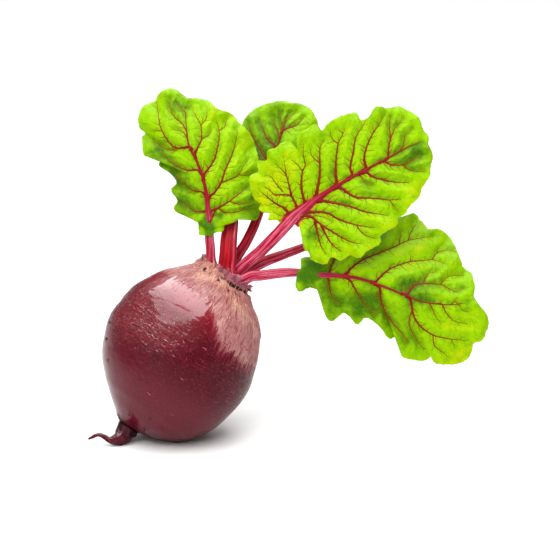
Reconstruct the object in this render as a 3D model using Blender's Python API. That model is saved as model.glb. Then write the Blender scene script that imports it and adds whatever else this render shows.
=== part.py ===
"""A whole beetroot with its leaves: one root, six red stalks and six green blades.

Metres, +Z up. The origin is on the small flat spot that the root rests on, straight below the middle of
the globe. The root leans to the right, and its leaves fan out in a plane that leans back a little.

Most sizes are read in that leaning plane, in millimetres from the globe's middle: right, up in the plane,
and near, which is how far a point stands out of the plane towards the front.
"""

import math
from collections import namedtuple

import bpy
from mathutils import Vector

MM = 0.001

# How the root stands
GLOBE_HEIGHT = 47.3
FLAT_RISE = 0.6
PLANE_LEAN = math.radians(15)
ROOT_LEAN = math.radians(34)
TOUCH_GAP = 0.3

# The root's turned outline from the taproot's neck to the crown: along the axis, radius, sideways shift
ROOT_OUTLINE = [
    (-49.3, 6.3, -0.5),
    (-47.7, 11.0, 1.6),
    (-45.5, 15.3, 3.3),
    (-41.6, 21.6, 4.4),
    (-37.8, 26.0, 4.1),
    (-32.9, 31.0, 3.3),
    (-23.0, 37.8, 1.6),
    (-6.6, 43.0, 0.0),
    (4.9, 42.7, 0.0),
    (13.2, 40.6, -0.3),
    (20.8, 37.8, 0.0),
    (28.0, 34.5, -0.5),
    (34.0, 30.7, -0.5),
    (38.9, 25.8, -0.5),
    (43.3, 20.5, -1.4),
    (46.6, 17.0, -2.9),
    (48.8, 15.4, -3.7),
    (49.5, 14.2, -3.8),
]
CROWN_HEIGHT = 49.5
CROWN_SHIFT = -3.8
CROWN_STEPS = (9.0, 4.5)
GLOBE_RINGS = 27
GLOBE_SIDES = 48

# The taproot's middle line below the neck: right, up, near, radius
TAPROOT = [
    (-30.1, -44.2, 4.5, 5.2),
    (-33.0, -46.8, 7.5, 3.7),
    (-36.6, -47.9, 9.0, 2.3),
    (-38.8, -47.6, 9.5, 1.6),
    (-41.6, -45.8, 9.5, 1.25),
    (-44.5, -45.0, 9.5, 1.0),
    (-47.5, -46.2, 9.5, 0.8),
    (-49.9, -47.3, 9.5, 0.5),
]
TAPROOT_RINGS = 14
TAPROOT_THIN_FROM = 6

# Blades and stalks
BLADE_THICKNESS = 0.75
STALK_SIDES = 10
STALK_RINGS = 9
RIB_RINGS = 12
SLIT_END = 0.90
SLIT_GAP = 0.4
FAN_POWER = 1.35
RUFFLE_START = 0.18

Leaf = namedtuple("Leaf", "name foot stalk rib left right tip tilts cup ruffle waves stations rows")

# foot: where the stalk stands on the crown, across the crown and near.
# stalk, rib: right, up, near, half width, half depth. left, right, tip: right and up, base to tip.
# tilts: how far the left and right halves lean forward per millimetre out from the rib.
LEAVES = [
    Leaf(
        name="leaf_left",
        foot=(-12.4, 3.0, 2.9, 2.6),
        stalk=[(16.8, 55.0, 4.5, 2.6, 2.4)],
        rib=[
            (16.2, 63.5, 6.0, 2.4, 2.1),
            (16.0, 73.0, 8.0, 1.9, 1.8),
            (14.0, 90.0, 12.0, 1.6, 1.5),
            (10.0, 103.0, 14.0, 1.35, 1.3),
            (5.0, 113.5, 15.0, 1.1, 1.1),
            (3.5, 125.5, 13.0, 0.8, 0.8),
            (3.5, 133.0, 10.0, 0.6, 0.6),
        ],
        left=[
            (10.5, 64.0),
            (9.5, 74.5),
            (4.0, 74.5),
            (-2.5, 78.5),
            (-1.0, 84.0),
            (-4.0, 89.0),
            (-2.5, 95.0),
            (-10.5, 102.0),
            (-11.0, 107.5),
            (-19.0, 108.0),
            (-20.0, 119.5),
            (-22.5, 126.0),
            (-20.5, 133.0),
            (-13.0, 137.5),
            (-6.0, 143.5),
            (-0.5, 141.5),
        ],
        right=[
            (21.5, 64.5),
            (24.0, 68.5),
            (25.5, 71.5),
            (33.0, 74.5),
            (41.5, 72.5),
            (44.0, 79.0),
            (42.0, 89.0),
            (42.0, 98.5),
            (42.5, 105.0),
            (41.5, 112.0),
            (36.0, 121.5),
            (29.5, 129.0),
            (23.0, 132.5),
            (16.0, 136.5),
            (10.0, 138.5),
        ],
        tip=(3.5, 138.5),
        tilts=(-0.3, -0.2),
        cup=-0.05,
        ruffle=1.8,
        waves=6,
        stations=36,
        rows=5,
    ),
    Leaf(
        name="leaf_inner_left",
        foot=(-2.3, 7.0, 4.5, 2.9),
        stalk=[
            (26.2, 52.0, 5.5, 4.6, 2.9),
            (26.8, 62.0, 2.5, 4.5, 2.7),
            (28.0, 71.0, -2.0, 3.9, 2.5),
        ],
        rib=[
            (28.7, 78.0, -5.5, 2.8, 2.2),
            (28.5, 85.0, -8.0, 2.0, 1.8),
            (26.5, 97.0, -11.0, 1.6, 1.5),
            (23.0, 110.5, -13.0, 1.1, 1.1),
            (20.0, 121.0, -14.0, 0.6, 0.6),
        ],
        left=[
            (23.0, 78.5),
            (17.0, 84.0),
            (12.5, 93.0),
            (8.5, 104.0),
            (7.0, 115.0),
            (12.0, 124.0),
        ],
        right=[
            (34.0, 79.0),
            (37.5, 86.0),
            (38.0, 96.0),
            (36.5, 107.0),
            (32.0, 117.0),
            (26.0, 124.0),
        ],
        tip=(19.0, 127.0),
        tilts=(0.05, 0.0),
        cup=0.1,
        ruffle=1.2,
        waves=3,
        stations=15,
        rows=3,
    ),
    Leaf(
        name="leaf_back",
        foot=(-1.8, -6.5, 2.6, 2.5),
        stalk=[
            (31.0, 52.0, -7.5, 2.8, 2.6),
            (36.5, 61.0, -9.0, 2.7, 2.5),
            (42.0, 73.0, -12.0, 2.5, 2.3),
        ],
        rib=[
            (46.5, 87.0, -15.5, 2.0, 1.8),
            (49.5, 99.5, -18.5, 1.5, 1.4),
            (52.5, 110.0, -21.0, 1.2, 1.2),
            (56.5, 123.0, -24.0, 0.9, 0.9),
            (59.5, 132.0, -26.0, 0.6, 0.6),
        ],
        left=[
            (42.0, 88.0),
            (41.0, 98.5),
            (42.0, 107.5),
            (36.5, 114.5),
            (33.5, 123.5),
            (36.5, 130.0),
            (42.5, 135.0),
            (49.5, 137.5),
            (56.0, 138.5),
        ],
        right=[
            (51.5, 86.0),
            (57.0, 92.0),
            (66.0, 100.0),
            (73.5, 109.0),
            (76.0, 118.5),
            (75.5, 127.0),
            (72.0, 133.5),
            (66.5, 137.0),
        ],
        tip=(61.0, 137.5),
        tilts=(-0.1, -0.15),
        cup=-0.1,
        ruffle=1.5,
        waves=4,
        stations=26,
        rows=4,
    ),
    Leaf(
        name="leaf_front",
        foot=(0.7, 0.5, 3.0, 2.9),
        stalk=[
            (34.5, 46.8, 2.5, 3.3, 3.0),
            (44.0, 55.2, 5.0, 3.2, 2.8),
            (53.0, 64.0, 8.0, 3.3, 2.6),
        ],
        rib=[
            (60.5, 72.0, 10.0, 3.3, 2.4),
            (66.0, 77.0, 12.0, 2.7, 2.2),
            (74.5, 83.5, 15.0, 2.3, 2.0),
            (85.5, 90.5, 19.0, 1.9, 1.8),
            (96.0, 96.5, 22.0, 1.6, 1.5),
            (112.0, 105.0, 27.0, 1.2, 1.2),
            (124.0, 111.5, 30.0, 0.8, 0.8),
            (131.0, 114.5, 31.0, 0.6, 0.6),
        ],
        left=[
            (54.5, 71.5),
            (47.0, 74.0),
            (45.0, 79.0),
            (39.5, 85.5),
            (37.5, 94.5),
            (42.0, 101.0),
            (47.0, 105.0),
            (49.5, 110.5),
            (57.0, 114.5),
            (63.5, 111.5),
            (64.0, 118.0),
            (70.0, 122.5),
            (79.5, 124.0),
            (88.0, 129.0),
            (95.5, 130.5),
            (99.0, 126.5),
            (104.0, 131.0),
            (109.0, 133.5),
            (116.0, 133.0),
            (124.0, 131.5),
            (129.0, 128.0),
            (132.0, 121.5),
        ],
        right=[
            (67.0, 69.0),
            (70.5, 66.5),
            (69.5, 62.5),
            (68.0, 58.0),
            (71.0, 52.0),
            (79.5, 48.0),
            (89.0, 50.0),
            (97.5, 52.5),
            (104.0, 56.5),
            (109.5, 62.0),
            (117.5, 68.0),
            (120.0, 73.5),
            (126.5, 82.0),
            (131.0, 87.0),
            (135.0, 96.0),
            (137.5, 104.0),
            (136.5, 110.0),
        ],
        tip=(135.5, 115.0),
        tilts=(0.1, 0.06),
        cup=-0.05,
        ruffle=2.0,
        waves=7,
        stations=40,
        rows=5,
    ),
    Leaf(
        name="leaf_inner_right",
        foot=(5.9, -4.5, 2.7, 2.5),
        stalk=[
            (37.8, 44.5, -5.0, 3.0, 2.6),
            (46.0, 49.4, -5.5, 2.9, 2.5),
            (57.0, 53.5, -6.5, 2.5, 2.3),
        ],
        rib=[
            (70.0, 58.5, -8.0, 2.1, 1.9),
            (82.0, 65.5, -10.0, 1.6, 1.5),
            (96.0, 72.5, -12.0, 1.2, 1.2),
            (109.5, 79.5, -14.0, 0.9, 0.9),
            (116.0, 83.5, -15.0, 0.6, 0.6),
        ],
        left=[
            (67.0, 63.0),
            (68.0, 71.0),
            (75.0, 79.0),
            (86.0, 85.5),
            (98.0, 91.0),
            (110.0, 93.0),
            (117.0, 91.0),
        ],
        right=[
            (74.0, 54.0),
            (83.0, 53.0),
            (94.0, 56.0),
            (105.0, 62.0),
            (114.0, 70.5),
            (120.5, 79.0),
        ],
        tip=(121.0, 86.0),
        tilts=(0.0, 0.05),
        cup=0.1,
        ruffle=1.2,
        waves=3,
        stations=15,
        rows=3,
    ),
    Leaf(
        name="leaf_right",
        foot=(6.9, 5.5, 2.8, 2.6),
        stalk=[
            (38.6, 41.2, 6.5, 2.9, 2.7),
            (45.0, 42.0, 5.5, 2.8, 2.5),
            (54.5, 43.2, 4.5, 2.6, 2.3),
        ],
        rib=[
            (64.0, 43.5, 4.0, 2.2, 2.0),
            (75.0, 42.5, 4.0, 1.9, 1.8),
            (91.0, 41.5, 5.0, 1.6, 1.6),
            (101.0, 39.5, 6.0, 1.4, 1.4),
            (115.0, 34.5, 7.5, 1.2, 1.2),
            (130.0, 28.5, 8.0, 1.0, 1.0),
            (144.5, 26.0, 7.0, 0.8, 0.8),
            (157.0, 27.0, 5.0, 0.6, 0.6),
        ],
        left=[
            (63.5, 48.5),
            (68.5, 52.0),
            (78.0, 51.5),
            (90.5, 57.0),
            (104.0, 66.0),
            (118.0, 74.0),
            (128.0, 75.5),
            (133.5, 71.0),
            (141.0, 67.0),
            (148.0, 62.5),
            (153.0, 53.5),
            (156.5, 46.0),
            (161.5, 37.5),
        ],
        right=[
            (63.5, 38.5),
            (65.0, 34.0),
            (75.5, 33.5),
            (78.5, 26.0),
            (82.5, 17.5),
            (89.5, 21.0),
            (97.0, 15.5),
            (102.0, 18.5),
            (108.5, 15.0),
            (114.5, 7.5),
            (120.0, 8.0),
            (122.0, -2.0),
            (132.5, -5.0),
            (137.5, -3.5),
            (141.0, -6.5),
            (151.0, -6.5),
            (159.0, -1.5),
            (161.5, 5.0),
            (168.0, 11.5),
            (169.0, 19.0),
        ],
        tip=(163.5, 27.0),
        tilts=(-0.15, -0.25),
        cup=-0.1,
        ruffle=2.0,
        waves=7,
        stations=40,
        rows=5,
    ),
]

AXIS = (math.sin(ROOT_LEAN), math.cos(ROOT_LEAN))
ACROSS = (math.cos(ROOT_LEAN), -math.sin(ROOT_LEAN))


def seen(right, up, near):
    """Gives the world place, in metres, of a point read in the leaning plane in millimetres."""
    y = up * math.sin(PLANE_LEAN) - near * math.cos(PLANE_LEAN)
    z = GLOBE_HEIGHT + up * math.cos(PLANE_LEAN) + near * math.sin(PLANE_LEAN)
    return Vector((right, y, z)) * MM


def by_axis(along, across, near):
    """Gives the leaning-plane place of a point measured along and across the root's own axis."""
    right = along * AXIS[0] + across * ACROSS[0]
    up = along * AXIS[1] + across * ACROSS[1]
    return (right, up, near)


def shares_of(points):
    """Gives each point's share of the line's length, seen from the front."""
    lengths = [0.0]
    for before, after in zip(points, points[1:]):
        lengths.append(lengths[-1] + math.hypot(after[0] - before[0], after[1] - before[1]))
    return [length / lengths[-1] for length in lengths]


def point_along(points, share):
    """Reads a smooth curve through the points at a share of its length."""
    shares = shares_of(points)
    last = len(points) - 1
    index = 0
    while index < last - 1 and shares[index + 1] < share:
        index += 1
    t = (share - shares[index]) / (shares[index + 1] - shares[index])
    start = points[index]
    end = points[index + 1]
    before = points[max(index - 1, 0)]
    after = points[min(index + 2, last)]
    found = []
    for p0, p1, p2, p3 in zip(before, start, end, after):
        cubic = -p0 + 3 * p1 - 3 * p2 + p3
        square = 2 * p0 - 5 * p1 + 4 * p2 - p3
        found.append(0.5 * (2 * p1 + (p2 - p0) * t + square * t**2 + cubic * t**3))
    return found


def surface(name, colour, roughness):
    """Makes one plain material."""
    material = bpy.data.materials.new(name)
    material.use_nodes = True
    shader = material.node_tree.nodes["Principled BSDF"]
    shader.inputs["Base Color"].default_value = (*colour, 1.0)
    shader.inputs["Roughness"].default_value = roughness
    shader.inputs["Metallic"].default_value = 0.0
    return material


def add_object(name, vertices, faces, material, smooth_angle):
    """Links one closed mesh object with its outer faces shaded smooth."""
    mesh = bpy.data.meshes.new(name)
    mesh.from_pydata(vertices, [], faces)
    mesh.materials.append(material)
    mesh.shade_smooth()
    mesh.set_sharp_from_angle(angle=math.radians(smooth_angle))
    made = bpy.data.objects.new(name, mesh)
    bpy.context.scene.collection.objects.link(made)
    return made


def ring_points(centre, side, front, half_width, half_depth, sides):
    """Gives one closed ring of points around a centre, all in world metres."""
    ring = []
    for step in range(sides):
        angle = 2 * math.pi * step / sides
        ring.append(centre + side * half_width * math.cos(angle) + front * half_depth * math.sin(angle))
    return ring


def bridge(first, second):
    """Joins two rings of vertex numbers; the second may have half as many points as the first."""
    count = len(second)
    if len(first) == count:
        return [
            (first[i], first[(i + 1) % count], second[(i + 1) % count], second[i]) for i in range(count)
        ]
    faces = []
    for i in range(count):
        after = (i + 1) % count
        faces.append((first[2 * i], first[2 * i + 1], second[i]))
        faces.append((first[2 * i + 1], second[after], second[i]))
        faces.append((first[2 * i + 1], first[(2 * i + 2) % len(first)], second[after]))
    return faces


def skin_rings(rings):
    """Joins rings of points into one closed skin with flat ends."""
    vertices = []
    numbers = []
    for ring in rings:
        numbers.append(list(range(len(vertices), len(vertices) + len(ring))))
        vertices.extend(ring)
    faces = [tuple(reversed(numbers[0])), tuple(numbers[-1])]
    for first, second in zip(numbers, numbers[1:]):
        faces.extend(bridge(first, second))
    return vertices, faces


def world_direction(right, up, near):
    """Gives the world direction of a direction read in the leaning plane."""
    return (seen(right, up, near) - seen(0, 0, 0)).normalized()


def root_rings():
    """Gives the root's rings from the crown's middle down to the taproot's tip."""
    across = world_direction(ACROSS[0], ACROSS[1], 0)
    front = world_direction(0, 0, 1)
    rings = []
    for radius in reversed(CROWN_STEPS):
        centre = seen(*by_axis(CROWN_HEIGHT, CROWN_SHIFT, 0))
        rings.append(ring_points(centre, across, front, radius * MM, radius * MM, GLOBE_SIDES))
    outline = list(reversed(ROOT_OUTLINE))
    for step in range(GLOBE_RINGS):
        along, radius, shift = point_along(outline, step / (GLOBE_RINGS - 1))
        centre = seen(*by_axis(along, shift, 0))
        rings.append(ring_points(centre, across, front, radius * MM, radius * MM, GLOBE_SIDES))
    return rings + taproot_rings(front)


def taproot_rings(front):
    """Gives the rings of the bent taproot below its neck."""
    neck = by_axis(ROOT_OUTLINE[0][0], ROOT_OUTLINE[0][2], 0)
    line = [(*neck, ROOT_OUTLINE[0][1])] + TAPROOT
    rings = []
    for step in range(1, TAPROOT_RINGS + 1):
        share = step / TAPROOT_RINGS
        right, up, near, radius = point_along(line, share)
        back = point_along(line, share - 0.5 / TAPROOT_RINGS)
        heading = (seen(right, up, near) - seen(*back[:3])).normalized()
        side = front.cross(heading).normalized()
        raised = heading.cross(side)
        sides = GLOBE_SIDES // 2 if step < TAPROOT_THIN_FROM else GLOBE_SIDES // 4
        rings.append(ring_points(seen(right, up, near), side, raised, radius * MM, radius * MM, sides))
    return rings


def make_root(material):
    """Makes the globe, its crown and its taproot as one solid, pressed flat where it rests."""
    vertices, faces = skin_rings(root_rings())
    for vertex in vertices:
        if vertex.z < FLAT_RISE * MM:
            vertex.z = 0.0
    return add_object("root", vertices, faces, material, 40)


def leaf_line(leaf):
    """Gives the middle line of a stalk and its rib, and the share of its length where the blade starts."""
    foot_across, foot_near, half_width, half_depth = leaf.foot
    line = []
    for rise in (TOUCH_GAP, TOUCH_GAP + half_width):
        place = by_axis(CROWN_HEIGHT + rise, foot_across, foot_near)
        line.append((*place, half_width, half_depth))
    line += leaf.stalk
    start = len(line)
    line += leaf.rib
    return line, shares_of(line)[start]


def rib_place(leaf, share):
    """Reads the rib at a share of the blade's length: right, up, near, half width, half depth."""
    line, start = leaf_line(leaf)
    return point_along(line, start + share * (1 - start))


def rib_share_at(leaf, station):
    """Gives how far along the rib a blade's station starts; the stations crowd together at the base."""
    return (station / leaf.stations) ** FAN_POWER


def make_stalk(leaf, material):
    """Makes a stalk and its rib as one tapering solid that ends inside the blade's slit."""
    line, start = leaf_line(leaf)
    slit_stations = [n for n in range(leaf.stations) if rib_share_at(leaf, n) < SLIT_END]
    end = start + rib_share_at(leaf, slit_stations[-1]) * (1 - start)
    shares = [start * step / STALK_RINGS for step in range(STALK_RINGS)]
    shares += [start + (end - start) * step / RIB_RINGS for step in range(RIB_RINGS + 1)]
    front = world_direction(0, 0, 1)
    rings = []
    for share in shares:
        right, up, near, half_width, half_depth = point_along(line, share)
        here = seen(right, up, near)
        heading = (seen(*point_along(line, min(share + 0.01, 1.0))[:3]) - here).normalized()
        if share == 0:
            heading = world_direction(AXIS[0], AXIS[1], 0)
        side = front.cross(heading).normalized()
        raised = heading.cross(side)
        rings.append(ring_points(here, side, raised, half_width * MM, half_depth * MM, STALK_SIDES))
    vertices, faces = skin_rings(rings)
    return add_object(leaf.name + "_stalk", vertices, faces, material, 50)


def blade_edges(leaf, side):
    """Gives a half's margin line, from the blade's base to its tip."""
    return (leaf.left if side < 0 else leaf.right) + [leaf.tip]


def blade_point(leaf, side, station, row):
    """Gives the leaning-plane place on one half of a blade, by station along it and row out from the rib."""
    along = station / leaf.stations
    out = row / leaf.rows
    rib_share = rib_share_at(leaf, station)
    right, up, near, half_width, _ = rib_place(leaf, rib_share)
    ahead = rib_place(leaf, min(rib_share + 0.01, 1.0))
    behind = rib_place(leaf, max(rib_share - 0.01, 0.0))
    heading = Vector((ahead[0] - behind[0], ahead[1] - behind[1])).normalized()
    gap = half_width + SLIT_GAP if rib_share < SLIT_END else 0.0
    start = Vector((right + side * heading.y * gap, up - side * heading.x * gap))
    end = Vector(point_along(blade_edges(leaf, side), along))
    place = start.lerp(end, out)
    distance = (place - start).length
    tilt = leaf.tilts[0] if side < 0 else leaf.tilts[1]
    ruffle = leaf.ruffle * min(1.0, along / RUFFLE_START) * out**2
    wave = math.sin(2 * math.pi * leaf.waves * along + side)
    near += distance * tilt + leaf.cup * distance * out + ruffle * wave
    return (place.x, place.y, near)


def blade_middle(leaf):
    """Gives the middle surface of a blade: world points and triangles facing the front."""
    numbers = {}
    points = []

    def number(side, station, row):
        joined = row == 0 and rib_share_at(leaf, station) >= SLIT_END
        shared = joined or station == leaf.stations
        key = (0 if shared else side, station, row)
        if key not in numbers:
            numbers[key] = len(points)
            points.append(seen(*blade_point(leaf, side, station, row)))
        return numbers[key]

    triangles = []
    for side in (-1, 1):
        for station in range(leaf.stations):
            for row in range(leaf.rows):
                a = number(side, station, row)
                b = number(side, station, row + 1)
                c = number(side, station + 1, row + 1)
                d = number(side, station + 1, row)
                pair = [(a, b, c), (a, c, d)]
                triangles += pair if side > 0 else [tuple(reversed(corners)) for corners in pair]
    return points, triangles


def point_normals(points, triangles):
    """Gives each point's unit normal, averaged over the triangles around it."""
    normals = [Vector((0, 0, 0)) for _ in points]
    for a, b, c in triangles:
        normal = (points[b] - points[a]).cross(points[c] - points[a])
        for corner in (a, b, c):
            normals[corner] += normal
    return [normal.normalized() for normal in normals]


def make_blade(leaf, material):
    """Makes a blade of even thickness with the same triangles on both faces."""
    points, triangles = blade_middle(leaf)
    normals = point_normals(points, triangles)
    half = BLADE_THICKNESS * MM / 2
    count = len(points)
    vertices = [point + normal * half for point, normal in zip(points, normals)]
    vertices += [point - normal * half for point, normal in zip(points, normals)]
    faces = list(triangles)
    faces += [(c + count, b + count, a + count) for a, b, c in triangles]
    edges = {(a, b) for corners in triangles for a, b in zip(corners, corners[1:] + corners[:1])}
    for a, b in sorted(edges):
        if (b, a) not in edges:
            faces.append((b, a, a + count))
            faces.append((b, a + count, b + count))
    return add_object(leaf.name + "_blade", vertices, faces, material, 50)


def main():
    for old in list(bpy.data.objects):
        bpy.data.objects.remove(old)
    make_root(surface("root_skin", (0.16, 0.03, 0.05), 0.4))
    for leaf in LEAVES:
        make_stalk(leaf, surface(leaf.name + "_red", (0.45, 0.03, 0.08), 0.4))
        make_blade(leaf, surface(leaf.name + "_green", (0.25, 0.5, 0.02), 0.5))


main()
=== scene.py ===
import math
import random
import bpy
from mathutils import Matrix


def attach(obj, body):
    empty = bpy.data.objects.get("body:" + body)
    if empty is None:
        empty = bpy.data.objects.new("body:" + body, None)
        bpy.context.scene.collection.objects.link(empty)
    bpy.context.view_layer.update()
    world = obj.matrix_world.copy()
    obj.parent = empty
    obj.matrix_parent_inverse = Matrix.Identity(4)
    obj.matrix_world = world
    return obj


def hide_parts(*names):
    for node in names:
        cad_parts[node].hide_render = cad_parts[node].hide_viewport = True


bl_info = {
    "name": "Beetroot with leaves",
    "version": (1, 0, 0),
    "blender": (4, 5, 0),
    "location": "3D View > Sidebar > Beetroot",
    "description": "Dresses the packed beetroot with its skin, crown, stalks, leaf blades and veins",
    "category": "Object",
}

from collections import namedtuple

import bpy
import numpy as np
from mathutils import Vector, noise
from mathutils.bvhtree import BVHTree

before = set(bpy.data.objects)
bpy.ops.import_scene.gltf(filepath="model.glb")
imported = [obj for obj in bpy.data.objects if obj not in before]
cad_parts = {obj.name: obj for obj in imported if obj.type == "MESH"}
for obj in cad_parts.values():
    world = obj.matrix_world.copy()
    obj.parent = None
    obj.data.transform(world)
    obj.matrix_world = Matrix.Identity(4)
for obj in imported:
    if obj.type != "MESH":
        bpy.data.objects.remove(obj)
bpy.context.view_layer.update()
MM = 0.001

# How the root stands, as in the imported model. Plan sizes are millimetres from the globe's middle:
# right, up in a plane that leans back, and near, which is how far a point stands out towards the front.
GLOBE_HEIGHT = 47.3
PLANE_LEAN = math.radians(15)
ROOT_LEAN = math.radians(34)
AXIS = np.array((math.sin(ROOT_LEAN), math.cos(ROOT_LEAN), 0.0))
ACROSS = np.array((math.cos(ROOT_LEAN), -math.sin(ROOT_LEAN), 0.0))
NEAR = np.array((0.0, 0.0, 1.0))

# The root's turned outline from the crown to the taproot's neck: along the axis, radius, sideways shift
ROOT_OUTLINE = [
    (49.5, 14.2, -3.8), (48.8, 15.4, -3.7), (46.6, 17.0, -2.9), (43.3, 20.5, -1.4), (38.9, 25.8, -0.5),
    (34.0, 30.7, -0.5), (28.0, 34.5, -0.5), (20.8, 37.8, 0.0), (13.2, 40.6, -0.3), (4.9, 42.7, 0.0),
    (-6.6, 43.0, 0.0), (-23.0, 37.8, 1.6), (-32.9, 31.0, 3.3), (-37.8, 26.0, 4.1), (-41.6, 21.6, 4.4),
    (-45.5, 15.3, 3.3), (-47.7, 11.0, 1.6), (-49.3, 6.3, -0.5),
]
CROWN_HEIGHT, CROWN_RADIUS, CROWN_SHIFT = ROOT_OUTLINE[0]
NECK_HEIGHT, NECK_RADIUS, NECK_SHIFT = ROOT_OUTLINE[-1]
GLOBE_RADIUS = 43.0

# The taproot's middle line below the neck: right, up, near, radius
TAPROOT = [
    (-30.1, -44.2, 4.5, 5.2), (-33.0, -46.8, 7.5, 3.7), (-36.6, -47.9, 9.0, 2.3),
    (-38.8, -47.6, 9.5, 1.6), (-41.6, -45.8, 9.5, 1.25), (-44.5, -45.0, 9.5, 1.0),
    (-47.5, -46.2, 9.5, 0.8), (-49.9, -47.3, 9.5, 0.5),
]
ROOT_SIDES = 240
CROWN_RINGS = 16
GLOBE_RINGS = 186
TAPROOT_RINGS = 64
NECK_TURN = 8.0

# Between which heights on the root's axis each kind of skin comes in, and where the ringed band goes out.
# The taproot's and its tail's are depths below the globe's middle.
CORK_FADE = (21, 43)
BARK_FADE = (27, 43)
SHOULDER_FADE = (40, 47)
DISC_FADE = (45.5, 49.0)
# Painted light: over this rise, mostly up the plan and partly up the axis, the skin turns from plum to
# crimson towards the top
TOP_LIGHT_FADE = (-14, 26)
BAND_START = (-26, -6)
BAND_END = (14, 30)
TAPROOT_FADE = (46.0, 49.5)
TAIL_FADE = (56, 64)
# How much lower cork starts on the right, the swelling of the left shoulder, and the depth of pits
CORK_LEAN = 18.0
SWELL_HEIGHT = 17
SWELL_REACH = 9
SWELL_DEPTH = 1.6
PIT_DEPTH = 0.22
CROWN_PIT_DEPTH = 1.2
# Skin this near the floor is pressed flat onto it, and skin up to the second height bends towards it
FLAT_BELOW = 0.6
BENT_BELOW = 1.6
# How far outside a surface the rays start that find it: in metres, and in plan millimetres
CAST_REACH = 0.09
DROP_FROM = 120.0

# Dark pits in the skin and corky dashes that stand on it: right, up, then size or length and tilt
SKIN_PITS = [
    (13.8, 45.2, 1.3), (-38.0, 16.5, 1.0), (-40.0, 7.5, 1.1), (-38.6, -4.0, 0.9), (-18.6, -10.4, 0.8),
    (-20.3, -14.2, 0.8), (-17.2, -15.6, 0.6), (-15.3, -35.6, 0.8), (-19.2, -41.6, 0.8),
    (-24.6, -38.2, 1.0), (-27.0, -34.0, 0.7), (-9.0, -40.5, 0.7), (3.0, -36.0, 0.7), (24.0, -8.0, 0.7),
    (17.0, -22.0, 0.6),
]
SKIN_DASHES = [
    (-10.4, 29.6, 4.2, -8), (2.2, 24.6, 9.6, -24), (-14.5, 34.5, 3.4, -12), (6.0, 35.5, 3.2, -20),
    (-6.5, 19.5, 2.4, -24), (14.5, 19.5, 3.2, -34), (-21.0, 12.0, 2.6, -30), (-8.0, 4.0, 3.0, -28),
    (14.0, 2.5, 3.2, -36), (-16.0, -22.0, 2.6, -30), (2.0, -14.0, 2.6, -34), (-4.0, -33.0, 3.0, -28),
]
SCATTERED_DASHES = 30
DASH_HEIGHTS = (-38, 30)
DASH_LIFT = 0.55
# Glossy flecks lie between the first two heights, most at the third, and this far off the floor
SKIN_FLECKS = 1000
FLECK_HEIGHTS = (-14.0, 26.0, 9.0)
FLECK_CLEARANCE = 3.0
ROOTLET_POINTS = 9
ROOTLET_WIDTH = 0.13
FINE_SIDES = 6

# Seeds of the random draws
DASH_SEED = 11
FLECK_SEED = 31
ROOTLET_SEED = 5
SCALE_SEED = 23

# Torn leaf bases round the crown: bearing in degrees from the crown's right end over its front, width,
# height, outward lean in degrees, and how brown they are
CROWN_FLAPS = [
    (184, 9.0, 3.0, 10, 0.2), (163, 5.0, 3.0, 24, 0.9), (147, 5.6, 2.6, 24, 0.8),
    (132, 4.0, 2.8, 30, 1.0), (119, 5.2, 3.6, 6, 0.8), (106, 6.6, 4.4, 4, 0.0),
    (93, 5.0, 3.4, 26, 0.25), (84, 6.6, 4.8, 2, 0.0), (70, 5.6, 4.2, 22, 0.0), (58, 6.6, 5.0, 6, 0.0),
    (44, 5.4, 4.4, 30, 0.0), (34, 6.4, 5.2, 12, 0.0), (20, 5.0, 4.6, 36, 0.1), (8, 6.8, 4.8, 20, 0.0),
    (-2, 6.4, 3.8, 56, 0.0), (-14, 5.0, 3.0, 40, 0.3), (-36, 5.5, 4.4, 45, 0.5),
    (-60, 4.5, 4.6, 30, 0.3), (-86, 5.8, 4.2, 24, 0.5), (-110, 4.8, 4.8, 36, 0.2),
    (-136, 5.2, 4.2, 30, 0.6), (-160, 4.6, 4.0, 22, 0.8),
]
FLAP_COLUMNS = 18
FLAP_ROWS = 12
FLAP_GAP = 0.2
FLAP_SINK = 1.6
FLAP_THICKNESS = 0.9
FLAP_EDGE = 0.12
CROWN_SCALES = 520
SCALE_TOP = 49.0
SCALE_END = 23.0

# Stalks and blades
TOUCH_GAP = 0.3
STALK_SINK = 1.6
STALK_SIDES = 44
STALK_RINGS = 150
COARSE_RIDGES = 7
FINE_RIDGES = 11
RIB_END = 0.985
SLIT_END = 0.90
SLIT_GAP = 0.4
FAN_POWER = 1.35
RUFFLE_START = 0.18
BLADE_STATIONS = 210
BLADE_ROWS = 42
RIB_SAMPLES = 160
VEIN_STEP = 0.8
VEIN_JOIN = 6.0
VEIN_LEAD = 2.5
SWEEP_SIDES = 7
FINE_VEIN = 0.6
VEIN_END = 0.2
TWIG_STEP = 0.6
TWIG_STOP = 0.9
TWIG_MARGIN = 1.2
SAMPLES_AT_ONCE = 64
# The side of a vein that the light reaches, and how much yellower it is painted there as painted light
LIT_FLANK = np.array((0.7, -0.7))
PAINTED_FLANK_LIGHT = 0.24

# The stage, in metres but for the plan point that the camera looks at
FLOOR_RADIUS = 1.25
FLOOR_SIDES = 96
FLOOR_DROP = 0.05 * MM
CAMERA_AIM = (54.8, 39.5, 0)
SENSOR_WIDTH = 36.0
CLIP_END = 50.0
WHITE = (1.0, 1.0, 1.0)
# Soft lights: name, the setting that holds its power, place, what it faces, size, and the kind of ray
# that doesn't see it
LIGHTS = [
    ("softbox", "softbox_power", (-0.1, -0.5, 1.25), (0.05, -0.05, 0.05), (1.7, 1.6), "visible_glossy"),
    ("gloss_panel", "gloss_power", (0.0, 0.12, 1.1), (0.0, 0.121, 0.0), (1.1, 1.61), "visible_diffuse"),
    ("fill", "fill_power", (-0.5, -2.2, 1.3), (0.05, 0, 0.09), (1.4, 1.4), "visible_glossy"),
    ("floor_light", "floor_power", (0.1, 3.0, 2.2), (0.1, 3.2, 0), (4.0, 3.0), None),
]

Leaf = namedtuple("Leaf", "name foot stalk rib left right tip tilts cup ruffle waves cover pale")

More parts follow.
